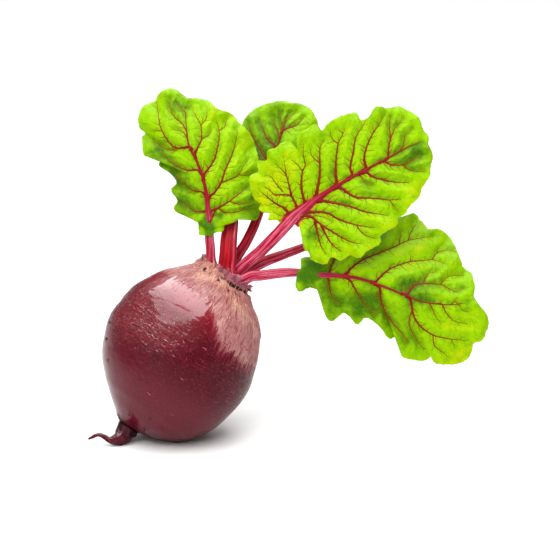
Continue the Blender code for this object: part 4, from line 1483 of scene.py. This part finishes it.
def leaf_line(leaf, sink):
    """Gives the middle line of a stalk and its rib, and the share of its length where the blade starts."""
    across, near, half_width, half_depth = leaf.foot
    rises = (-sink,) if sink else (TOUCH_GAP, TOUCH_GAP + half_width)
    line = []
    for rise in rises:
        place = by_axis(CROWN_HEIGHT + rise, across, near)
        line.append((*place, half_width, half_depth))
    line += leaf.stalk
    start = len(line)
    line += leaf.rib
    marks = run_of(line)
    return line, marks[start] / marks[-1]


def rib_at(leaf, shares):
    """Reads the rib at shares of the blade's length: right, up, near, half width, half depth."""
    line, start = leaf_line(leaf, 0.0)
    return curve_at(line, start + np.asarray(shares) * (1 - start))


def make_stalk(leaf, settings, material):
    """Makes a ridged stalk that grows out of the crown and tapers away as the blade's rib."""
    line, start = leaf_line(leaf, STALK_SINK)
    shares = np.linspace(0, start + RIB_END * (1 - start), STALK_RINGS)
    read = curve_at(line, shares)
    middle = read[:, :3]
    heading = unit(np.gradient(middle, axis=0))
    side = unit(np.cross(NEAR, heading))
    raised = np.cross(heading, side)
    angle = np.linspace(0, 2 * np.pi, STALK_SIDES, endpoint=False)[None, :]
    run = length_along(middle)[:, None]
    rib = np.clip((shares - start) / (1 - start), 0, 1)[:, None]
    seed = len(leaf.name) + leaf.foot[0]
    drift = 0.35 * np.sin(run / 19.0 + seed)
    coarse = np.cos(COARSE_RIDGES * (angle + drift) + seed)
    fine = np.cos(FINE_RIDGES * angle - drift * 2 + seed * 2)
    ridge = 0.55 * coarse + 0.45 * fine
    ridge = ridge * (1 - 0.75 * fade(rib, 0.2, 0.9))
    channel = np.exp(-(((angle - np.pi / 2) / 0.42) ** 2)) * (1 - fade(rib, 0.0, 0.25))
    flare = 1 + 0.5 * np.exp(-((run / 3.6) ** 2))
    swell = flare * (1 + settings.ridge_depth * ridge - 0.16 * channel)
    half_width = read[:, 3:4] * (1 - 0.42 * fade(rib, 0.0, 0.45)) * (1 - 0.25 * fade(rib, 0.85, 1.0))
    half_depth = read[:, 4:5] * (1 - 0.35 * fade(rib, 0.02, 0.5))
    ring = (
        side[:, None] * (half_width * swell * np.cos(angle))[..., None]
        + raised[:, None] * (half_depth * swell * np.sin(angle))[..., None]
    )
    plan = middle[:, None] + ring
    numbers = np.arange(plan.shape[0] * STALK_SIDES).reshape(plan.shape[0], STALK_SIDES)
    faces = strip_faces(numbers, True)[:, ::-1].tolist()
    faces.append(tuple(numbers[0].tolist()))
    faces.append(tuple(reversed(numbers[-1].tolist())))
    strand = np.stack(
        (np.cos(angle) + 0 * run + seed, np.sin(angle) + 0 * run, run + 0 * angle), axis=-1
    ).reshape(-1, 3)
    values = {
        "strand": strand,
        "ridge": ridge.ravel(),
        "rib": (rib + 0 * angle).ravel(),
        # Pale is the stalk's own pink, raised on one side of every stalk as a painted highlight edge.
        "pale": (leaf.pale + 0.35 * fade(-np.cos(angle), 0.35, 0.6) + 0 * run).ravel(),
    }
    piece = add_piece(leaf.name + "_stalk_skin", seen(plan.reshape(-1, 3)), faces, material, values)
    finish_piece(piece, "stalk_red", leaf.name + "_stalk")


# Blades and veins


def blade_grid(leaf, side, along, out):
    """Gives the plan places of one half of a blade, by shares along it and out from the rib."""
    rib_share = along**FAN_POWER
    rib = rib_at(leaf, rib_share)
    margin = curve_at((leaf.left if side < 0 else leaf.right) + [leaf.tip], along)
    start = rib[:, None, :2]
    span = margin[:, None] - start
    reach = np.hypot(span[..., 0], span[..., 1])
    run = run_of(margin)
    wander = np.column_stack((run, 0 * run + 7 * side, 0 * run))
    scallop = 0.7 * (0.3 - np.abs(rough(wander, 2.6, 43))) + 0.35 * rough(wander, 1.0, 42)
    scallop = (scallop * fade(along, 0, 0.04) * (1 - fade(along, 0.94, 1.0)))[:, None]
    place = start + span * (out + scallop / np.maximum(reach, 1) * out**5)[..., None]
    away = np.hypot(place[..., 0] - start[..., 0], place[..., 1] - start[..., 1])
    gap = np.where(rib_share < SLIT_END, rib[:, 3] + SLIT_GAP, 0.0)[:, None]
    beyond = np.maximum(away - gap, 0)
    share = beyond / np.maximum(reach - gap, 1.0)
    tilt = leaf.tilts[0] if side < 0 else leaf.tilts[1]
    grown = (np.minimum(1.0, along / RUFFLE_START) * (1 - fade(along, 0.9, 1.0)))[:, None]
    wave = np.sin(2 * np.pi * leaf.waves * along + side)[:, None]
    frill = 0.5 * np.sin(run * 0.85 + side)[:, None] * share**4
    near = rib[:, 2][:, None] + beyond * tilt + leaf.cup * beyond * share
    near = near + grown * (leaf.ruffle * share**2 * wave + frill)
    hood = leaf.cover * (1 - fade(rib_share, 0.06, 0.17))[:, None] * np.exp(-((away / 6.0) ** 2))
    return np.dstack((place, near + hood))


def vein_lines(leaf):
    """Gives a blade's side veins as plan lines with their half widths and ages."""
    rib = rib_at(leaf, np.linspace(0, 1, RIB_SAMPLES))[:, :2]
    found = []
    for width, points in VEINS.get(leaf.name, []):
        gaps = np.hypot(*(rib - points[0]).T)
        joint = int(np.argmin(gaps))
        if gaps[joint] < VEIN_JOIN:
            behind = run_of(rib)[joint] - VEIN_LEAD - gaps[joint]
            root = rib[max(int(np.searchsorted(run_of(rib), behind)), 0)]
            points = [tuple(root)] + points
        found.append((width, points))
    for start in RULED_VEINS.get(leaf.name, ()):
        for side in (-1, 1):
            t = np.linspace(0, 1, 7)
            along = np.minimum(start ** (1 / FAN_POWER) + RULED_SWEEP * t**1.4, 0.99)
            grid = blade_grid(leaf, side, along, (RULED_REACH * t)[None, :])
            points = [tuple(grid[number, number, :2]) for number in range(len(t))]
            found.append((RULED_WIDTH, points))
    veins = []
    for width, points in found:
        length = run_of(points)[-1]
        t = np.linspace(0, 1, max(int(length / VEIN_STEP), 3) + 1)
        line = curve_at(points, t)
        branch = width < FINE_VEIN
        widths = VEIN_END + (width - VEIN_END) * (1 - t) ** 0.8
        if not branch:
            widths = widths + 0.7 * width * np.exp(-t * length / 4.0)
        age = (0.35 if branch else 0.0) + (0.6 if branch else 0.75) * t
        veins.append((line, widths, age))
    return veins


def twig_lines(leaf, veins, settings):
    """Grows short twigs off every side vein, on alternate sides, that stop before they meet another vein."""
    rng = random.Random(leaf.name)
    spacing = settings.twig_spacing / MM
    longest = settings.twig_length / MM
    samples = np.concatenate([line for line, _, _ in veins])
    owners = np.concatenate([np.full(len(line), number) for number, (line, _, _) in enumerate(veins)])
    twigs = []
    for number, (line, widths, age) in enumerate(veins):
        others = samples[owners != number]
        marks = run_of(line)
        place = spacing * rng.uniform(0.5, 1.0)
        side = rng.choice((-1, 1))
        while place < marks[-1] - TWIG_MARGIN:
            index = int(np.searchsorted(marks, place))
            heading = line[min(index + 1, len(line) - 1)] - line[index - 1]
            turn = math.atan2(heading[1], heading[0]) + side * math.radians(rng.uniform(48, 72))
            length = longest * rng.uniform(0.5, 1.2) * (1 - 0.45 * place / marks[-1])
            steps = max(int(length / TWIG_STEP), 3)
            points = [line[index]]
            for _ in range(steps):
                turn += math.radians(rng.uniform(-14, 14)) - side * math.radians(4)
                points.append(points[-1] + TWIG_STEP * np.array((math.cos(turn), math.sin(turn))))
                gap = np.min(np.hypot(*(others - points[-1]).T))
                if gap < TWIG_STOP and len(points) > 3:
                    break
            if len(points) > 3:
                t = np.linspace(0, 1, len(points))
                width = min(widths[index] * 0.5, 0.3)
                ages = np.clip(age[index] + 0.2 + 0.6 * t, 0, 1)
                twigs.append((np.array(points), width * (1 - 0.6 * t) + 0.06, ages))
            side = -side
            place += spacing * rng.uniform(0.7, 1.35)
    return twigs


def both_halves(values):
    """Joins the values of a blade's two halves; the left half shares the rib's and the tip's points."""
    return np.concatenate((values.ravel(), values[:-1, 1:].ravel()))


def blade_sheet(leaf):
    """Gives a blade's plan points, its quads, and the share of each point along it and out from the rib."""
    along = np.linspace(0, 1, BLADE_STATIONS + 1)
    out = (np.linspace(0, 1, BLADE_ROWS + 1) ** 0.92)[None, :]
    right = blade_grid(leaf, 1, along, out)
    left = blade_grid(leaf, -1, along, out)
    plan = np.concatenate((right.reshape(-1, 3), left[:-1, 1:].reshape(-1, 3)))
    numbers = np.arange(right[..., 0].size).reshape(right.shape[:2])
    mirrored = numbers.copy()
    mirrored[:-1, 1:] = numbers.size + np.arange(mirrored[:-1, 1:].size).reshape(-1, BLADE_ROWS)
    faces = np.concatenate((strip_faces(numbers, False), strip_faces(mirrored, False)[:, ::-1]))
    alongs = both_halves(np.broadcast_to(along[:, None], numbers.shape))
    outs = both_halves(np.broadcast_to(out, numbers.shape))
    return plan, faces, alongs, outs, numbers.size


def blade_pucker(plan, gap, small_gap, height, seed):
    """Gives how far the panels between the veins rise, in millimetres."""
    pillow = 1 - np.exp(-((gap / 4.6) ** 2))
    crease = 1 - np.exp(-((gap / 1.5) ** 2))
    quilt = 1 - np.exp(-((small_gap / 1.2) ** 2))
    lumps = rough(plan * (1, 1, 0), 6.0, 20 + seed)
    rise = 0.62 * pillow * (1 + 0.5 * lumps) + 0.22 * crease + 0.16 * quilt
    return height / MM * rise + 0.16 * rough(plan * (1, 1, 0), 1.8, 31)


def painted_blade_shading(leaf, plan, vein_gap, from_vein):
    """Gives each point's painted light and shade, towards dark green or yellow: its leaf's painted patches,
    and each vein's flank painted yellower on the side the light reaches.
    """
    tone = np.zeros(len(plan))
    for right, up, reach, strength in PAINTED_BLADE_LIGHT_AND_SHADE[leaf.name]:
        away = np.hypot(plan[:, 0] - right, plan[:, 1] - up)
        tone += strength * np.exp(-((away / reach) ** 2))
    flank = from_vein @ LIT_FLANK / np.maximum(vein_gap, 0.3)
    return tone + PAINTED_FLANK_LIGHT * flank * fade(vein_gap, 0.2, 1.6)


def blade_middle(leaf, settings, vein_settings):
    """Gives a blade's middle surface: plan points, quads facing the front, and what the finish reads."""
    plan, faces, alongs, outs, right_count = blade_sheet(leaf)
    shares = np.linspace(0, 1, RIB_SAMPLES)
    rib = rib_at(leaf, shares)
    veins = vein_lines(leaf)
    twigs = twig_lines(leaf, veins, vein_settings)
    vein_samples = np.concatenate([line for line, _, _ in veins])
    vein_gap, closest = nearest(plan[:, :2], vein_samples)
    twig_gap, _ = nearest(plan[:, :2], np.concatenate([line for line, _, _ in twigs]))
    rib_gap, _ = nearest(plan[:, :2], rib[:, :2])
    rib_gap = np.maximum(rib_gap - np.interp(alongs**FAN_POWER, shares, rib[:, 3]), 0)
    gap = np.minimum(vein_gap, rib_gap + 0.4)
    small_gap = np.minimum(gap, twig_gap)
    lift = blade_pucker(plan, gap, small_gap, settings.pucker_height, len(leaf.name))
    soft = 1 - fade(outs, 0.86, 1.0) * 0.7
    plan[:, 2] += lift * soft * fade(alongs, 0, 0.05)
    right_side = np.arange(len(plan)) < right_count
    spread = 0.9 + np.where(right_side, 3.6, 1.7) * (1 - fade(alongs, 0.0, 0.36))
    blush = np.exp(-((rib_gap / spread) ** 2)) * (1 - fade(alongs, 0.12, 0.6))
    blush = np.maximum(blush * (0.9 if leaf.cover == 0 else 0.05), 0.3 * np.exp(-((vein_gap / 0.9) ** 2)))
    values = {
        "plan": plan * (0.1, 0.1, 0.0),
        # tone carries the blade's painted light and shade to its finish
        "tone": painted_blade_shading(leaf, plan, vein_gap, plan[:, :2] - vein_samples[closest]),
        # Painted shade in the valleys along the veins and twigs, which the finish darkens
        "valley": 0.7 * np.exp(-((gap / 1.9) ** 2)) + 0.3 * np.exp(-((small_gap / 0.9) ** 2)),
        "flush": np.clip(blush, 0, 1),
        "rim": outs,
    }
    return plan, faces, values, veins + twigs


def nearest(points, samples):
    """Gives each point's distance to the nearest sample, and that sample's number."""
    found = np.full(len(points), np.inf)
    closest = np.zeros(len(points), dtype=int)
    for start in range(0, len(samples), SAMPLES_AT_ONCE):
        part = samples[start : start + SAMPLES_AT_ONCE]
        gaps = np.hypot(points[:, None, 0] - part[None, :, 0], points[:, None, 1] - part[None, :, 1])
        index = gaps.argmin(axis=1)
        gap = gaps[np.arange(len(points)), index]
        closest = np.where(gap < found, start + index, closest)
        found = np.minimum(found, gap)
    return found, closest


def make_blade(leaf, form, settings, material):
    """Makes a puckered blade of even thickness with a closed margin."""
    plan, faces, values, _ = form
    middle = seen(plan)
    normals = point_normals(middle, faces)
    half = settings.thickness / 2
    points = np.concatenate((middle + normals * half, middle - normals * half))
    count = len(middle)
    edges = np.concatenate([faces[:, [corner, (corner + 1) % 4]] for corner in range(4)])
    forward = edges[:, 0].astype(np.int64) * count + edges[:, 1]
    backward = edges[:, 1].astype(np.int64) * count + edges[:, 0]
    rim = edges[~np.isin(forward, backward)]
    side = np.stack((rim[:, 1], rim[:, 0], rim[:, 0] + count, rim[:, 1] + count), axis=-1)
    whole = np.concatenate((faces, faces[:, ::-1] + count, side))
    doubled = {key: np.concatenate((value, value)) for key, value in values.items()}
    doubled["back"] = np.repeat((0.0, 1.0), count)
    piece = add_piece(leaf.name + "_blade_skin", points, whole.tolist(), material, doubled)
    finish_piece(piece, "blade_green", leaf.name + "_blade")


def make_veins(leaf, form, settings, group, material):
    """Lays a blade's side veins and twigs on its surface, proud of both faces."""
    plan, faces, _, veins = form
    middle = seen(plan)
    tree = BVHTree.FromPolygons([Vector(point) for point in middle], faces.tolist())
    strands = []
    for line, widths, age in veins:
        places, normals = drop_line(tree, line)
        count = len(places)
        if count < 3:
            continue
        widths = widths[:count] * settings.girth
        lifts = 0.5 + 0.2 / np.maximum(widths, 0.08)
        strands.append((places, normals, widths, lifts, age[:count]))
    piece = add_strands(leaf.name + "_veins", strands, group, material, SWEEP_SIDES)
    finish_piece(piece, "stalk_red")


# The stage


def make_floor(tone):
    """Makes the plain floor: a pale disc."""
    turn = np.linspace(0, 2 * np.pi, FLOOR_SIDES, endpoint=False)
    rim = np.stack((np.cos(turn), np.sin(turn), 0 * turn), axis=-1) * FLOOR_RADIUS
    rim[:, 2] = -FLOOR_DROP
    finish = Finish("floor_finish")
    grain = finish.grain(finish.place(), 3.0, 2.0)
    colour = finish.blend(grain, (tone, tone, tone), (tone * 0.99, tone * 0.985, tone * 0.98))
    material = finish.wear(base_color=colour, roughness=0.7)
    return add_piece("floor", rim, [tuple(range(FLOOR_SIDES))], material, {})


def add_light(name, power, place, aim, size, unseen):
    """Adds one square-cornered soft light that faces a point."""
    light = bpy.data.lights.new(name, "AREA")
    light.shape = "RECTANGLE"
    light.size, light.size_y = size
    light.energy = power
    made = bpy.data.objects.new(name, light)
    made.location = place
    made.rotation_euler = (Vector(aim) - Vector(place)).to_track_quat("-Z", "Y").to_euler()
    if unseen:
        setattr(made, unseen, False)
    bpy.context.scene.collection.objects.link(made)


def make_surroundings(strength):
    """Makes plain surroundings, a soft grey as a light and white to the camera."""
    world = bpy.data.worlds.new("studio")
    world.use_nodes = True
    tree = world.node_tree
    light = tree.nodes["Background"]
    fill(tree, light.inputs["Color"], WHITE)
    fill(tree, light.inputs["Strength"], strength)
    plain = add_node(tree, "ShaderNodeBackground", inputs={"Color": WHITE})
    ray = add_node(tree, "ShaderNodeLightPath")
    mix = add_node(tree, "ShaderNodeMixShader")
    sources = (ray.outputs["Is Camera Ray"], light.outputs[0], plain.outputs[0])
    for socket, source in zip(mix.inputs, sources):
        fill(tree, socket, source)
    fill(tree, tree.nodes["World Output"].inputs["Surface"], mix.outputs[0])
    return world


def add_camera(settings):
    """Adds the camera, which looks straight at the plane that the leaf fan leans back in."""
    camera = bpy.data.cameras.new("camera")
    camera.lens = settings.lens
    camera.sensor_width = SENSOR_WIDTH
    camera.clip_end = CLIP_END
    made = bpy.data.objects.new("camera", camera)
    away = Vector((0, -math.cos(PLANE_LEAN), math.sin(PLANE_LEAN)))
    made.location = Vector(seen(CAMERA_AIM)) + settings.distance * away
    made.rotation_euler = (math.pi / 2 - PLANE_LEAN, 0, 0)
    bpy.context.scene.collection.objects.link(made)
    return made


# What a user may change


def length_setting(name, description, default):
    """Makes a length, its default in millimetres."""
    return bpy.props.FloatProperty(
        name=name, description=description, default=default * MM, unit="LENGTH", precision=5
    )


def share_setting(name, description, default):
    """Makes a share from 0 to 1."""
    return bpy.props.FloatProperty(
        name=name, description=description, default=default, min=0, max=1, subtype="FACTOR"
    )


def colour_setting(name, description, *default):
    """Makes a colour, its default as seen on a screen."""
    return bpy.props.FloatVectorProperty(
        name=name, description=description, default=linear(*default), subtype="COLOR"
    )


def power_setting(name, description, default):
    """Makes a light's power in watts."""
    return bpy.props.FloatProperty(name=name, description=description, default=default, unit="POWER")


class BeetRootSettings(bpy.types.PropertyGroup):
    dent_depth: length_setting("Dent depth", "How deep the broad dents are", 0.32)
    streak_depth: length_setting("Cork depth", "How deep the corky streaks are", 0.4)
    # The skin goes from plum to crimson towards the top as painted light, and in random patches
    plum: colour_setting("Plum", "Main colour of the skin", 88, 10, 28)
    crimson: colour_setting("Crimson", "Redder patches of the skin", 122, 4, 24)
    cork: colour_setting("Cork", "Corky skin near the crown", 164, 116, 114)
    roughness: share_setting("Roughness", "Roughness of the smooth skin", 0.24)
    gloss: share_setting("Gloss", "Strength of the skin's gloss", 0.3)
    rootlets: bpy.props.IntProperty(
        name="Rootlets", description="How many hairs the taproot has", default=9, min=1
    )


class BeetStalkSettings(bpy.types.PropertyGroup):
    ridge_depth: share_setting("Ridge depth", "Ridges as a share of the stalk's radius", 0.07)
    crimson: colour_setting("Crimson", "Colour of the deep red stalks", 166, 4, 20)
    pink: colour_setting("Pink", "Colour of the pale stalks", 192, 78, 100)
    glow: share_setting("Glow", "Light that the juicy tissue seems to hold", 0.04)


class BeetBladeSettings(bpy.types.PropertyGroup):
    thickness: length_setting("Thickness", "Thickness of a blade", 0.45)
    pucker_height: length_setting("Pucker height", "How far panels rise between veins", 2.2)
    green: colour_setting("Green", "Main colour of the blades", 134, 182, 0)
    # Dark green takes the painted shade and yellow the painted light, as well as random mottle
    dark_green: colour_setting("Dark green", "Shaded parts of the blades", 56, 98, 8)
    yellow: colour_setting("Yellow", "Bright parts of the blades", 178, 188, 0)
    glow: share_setting("Glow", "Light that comes through the thin blade", 0.1)


class BeetVeinSettings(bpy.types.PropertyGroup):
    girth: bpy.props.FloatProperty(
        name="Girth", description="Scales the width of every vein", default=1.12, min=0.2, max=3
    )
    twig_spacing: length_setting("Twig spacing", "Distance between twigs", 1.9)
    twig_length: length_setting("Twig length", "Length of the longest twig", 6.2)
    crimson: colour_setting("Crimson", "Colour near the rib", 118, 12, 18)
    russet: colour_setting("Russet", "Colour of the outer veins", 116, 44, 4)
    olive: colour_setting("Olive", "Colour of the last twigs", 112, 124, 2)
    glow: share_setting("Glow", "Light that comes through the veins", 0.04)


class BeetStageSettings(bpy.types.PropertyGroup):
    distance: bpy.props.FloatProperty(
        name="Distance", description="From the camera to the leaf fan", default=2.5, unit="LENGTH"
    )
    lens: bpy.props.FloatProperty(name="Lens", description="Focal length in millimetres", default=293.3)
    floor_tone: share_setting("Floor tone", "Brightness of the floor", 0.9)
    softbox_power: power_setting("Softbox power", "Power of the light overhead", 34.0)
    fill_power: power_setting("Fill power", "Power of the soft light in front", 16.0)
    floor_power: power_setting("Floor power", "Power of the light over the floor behind", 70.0)
    gloss_power: power_setting("Gloss power", "Power of the panel that only shows in reflections", 138.0)
    world_light: share_setting("World light", "Strength of the light from all around", 0.22)


# Operators


# Each blade's middle surface, kept for the veins that lie on it
FORMS = {}


class BEET_OT_root(bpy.types.Operator):
    """Makes the root's skin, its raised dashes and its root hairs"""

    bl_idname = "beet.root"
    bl_label = "Root"

    def execute(self, context):
        settings = context.scene.beet_root
        skin = make_root(settings, skin_finish(settings))
        finish_piece(skin, "root_skin", "root")
        tree = surface_tree(skin)
        sweep = sweep_tree()
        rng = random.Random(DASH_SEED)
        dashes = add_strands("skin_dashes", dash_lines(tree, rng), sweep, dash_finish(), FINE_SIDES)
        finish_piece(dashes, "root_skin")
        flecks = make_flecks(tree, random.Random(FLECK_SEED), scatter_tree(), fleck_finish())
        finish_piece(flecks, "root_skin")
        hairs = rootlet_lines(random.Random(ROOTLET_SEED), settings.rootlets)
        rootlets = add_strands("rootlets", hairs, sweep, rootlet_finish(), FINE_SIDES)
        finish_piece(rootlets, "root_skin")
        return {"FINISHED"}


class BEET_OT_crown(bpy.types.Operator):
    """Makes the torn leaf bases and corky flakes of the crown"""

    bl_idname = "beet.crown"
    bl_label = "Crown"

    def execute(self, context):
        finish_piece(make_flaps(flap_finish()), "stalk_red")
        tree = surface_tree(bpy.data.objects["root_skin"])
        scales = make_scales(tree, random.Random(SCALE_SEED), scatter_tree(), scale_finish())
        finish_piece(scales, "root_skin")
        return {"FINISHED"}


class BEET_OT_stalks(bpy.types.Operator):
    """Makes the six ridged stalks and their ribs"""

    bl_idname = "beet.stalks"
    bl_label = "Stalks"

    def execute(self, context):
        settings = context.scene.beet_stalks
        material = stalk_finish(settings)
        for leaf in LEAVES:
            make_stalk(leaf, settings, material)
        return {"FINISHED"}


class BEET_OT_blades(bpy.types.Operator):
    """Makes the six puckered leaf blades"""

    bl_idname = "beet.blades"
    bl_label = "Blades"

    def execute(self, context):
        settings = context.scene.beet_blades
        material = blade_finish(settings)
        for leaf in LEAVES:
            FORMS[leaf.name] = blade_middle(leaf, settings, context.scene.beet_veins)
            make_blade(leaf, FORMS[leaf.name], settings, material)
        return {"FINISHED"}


class BEET_OT_veins(bpy.types.Operator):
    """Lays the side veins and twigs on the blades"""

    bl_idname = "beet.veins"
    bl_label = "Veins"

    def execute(self, context):
        settings = context.scene.beet_veins
        material = vein_finish(settings)
        group = sweep_tree()
        for leaf in LEAVES:
            make_veins(leaf, FORMS[leaf.name], settings, group, material)
        return {"FINISHED"}


class BEET_OT_stage(bpy.types.Operator):
    """Sets the floor, the lights, the surroundings and the camera"""

    bl_idname = "beet.stage"
    bl_label = "Stage"

    def execute(self, context):
        settings = context.scene.beet_stage
        floor = make_floor(settings.floor_tone)
        for name, power, *rest in LIGHTS:
            add_light(name, getattr(settings, power), *rest)
        context.scene.world = make_surroundings(settings.world_light)
        context.scene.view_settings.view_transform = "Standard"
        context.scene.camera = add_camera(settings)
        return {"FINISHED"}


class BEET_PT_panel(bpy.types.Panel):
    """Lists the pieces of the beetroot"""

    bl_idname = "BEET_PT_panel"
    bl_label = "Beetroot"
    bl_space_type = "VIEW_3D"
    bl_region_type = "UI"
    bl_category = "Beetroot"

    def draw(self, context):
        for group in SETTINGS:
            settings = getattr(context.scene, group)
            box = self.layout.box()
            for key in settings.__annotations__:
                box.prop(settings, key)
        for operator in OPERATORS:
            self.layout.operator(operator.bl_idname)


SETTINGS = {
    "beet_root": BeetRootSettings,
    "beet_stalks": BeetStalkSettings,
    "beet_blades": BeetBladeSettings,
    "beet_veins": BeetVeinSettings,
    "beet_stage": BeetStageSettings,
}
OPERATORS = (BEET_OT_root, BEET_OT_crown, BEET_OT_stalks, BEET_OT_blades, BEET_OT_veins, BEET_OT_stage)


def register():
    for name, group in SETTINGS.items():
        bpy.utils.register_class(group)
        setattr(bpy.types.Scene, name, bpy.props.PointerProperty(type=group))
    for item in OPERATORS + (BEET_PT_panel,):
        bpy.utils.register_class(item)


def unregister():
    for item in reversed(OPERATORS + (BEET_PT_panel,)):
        bpy.utils.unregister_class(item)
    for name, group in SETTINGS.items():
        delattr(bpy.types.Scene, name)
        bpy.utils.unregister_class(group)


def main():
    register()
    bpy.ops.beet.root()
    bpy.ops.beet.crown()
    bpy.ops.beet.stalks()
    bpy.ops.beet.blades()
    bpy.ops.beet.veins()
    bpy.ops.beet.stage()


if __name__ == "__main__":
    main()
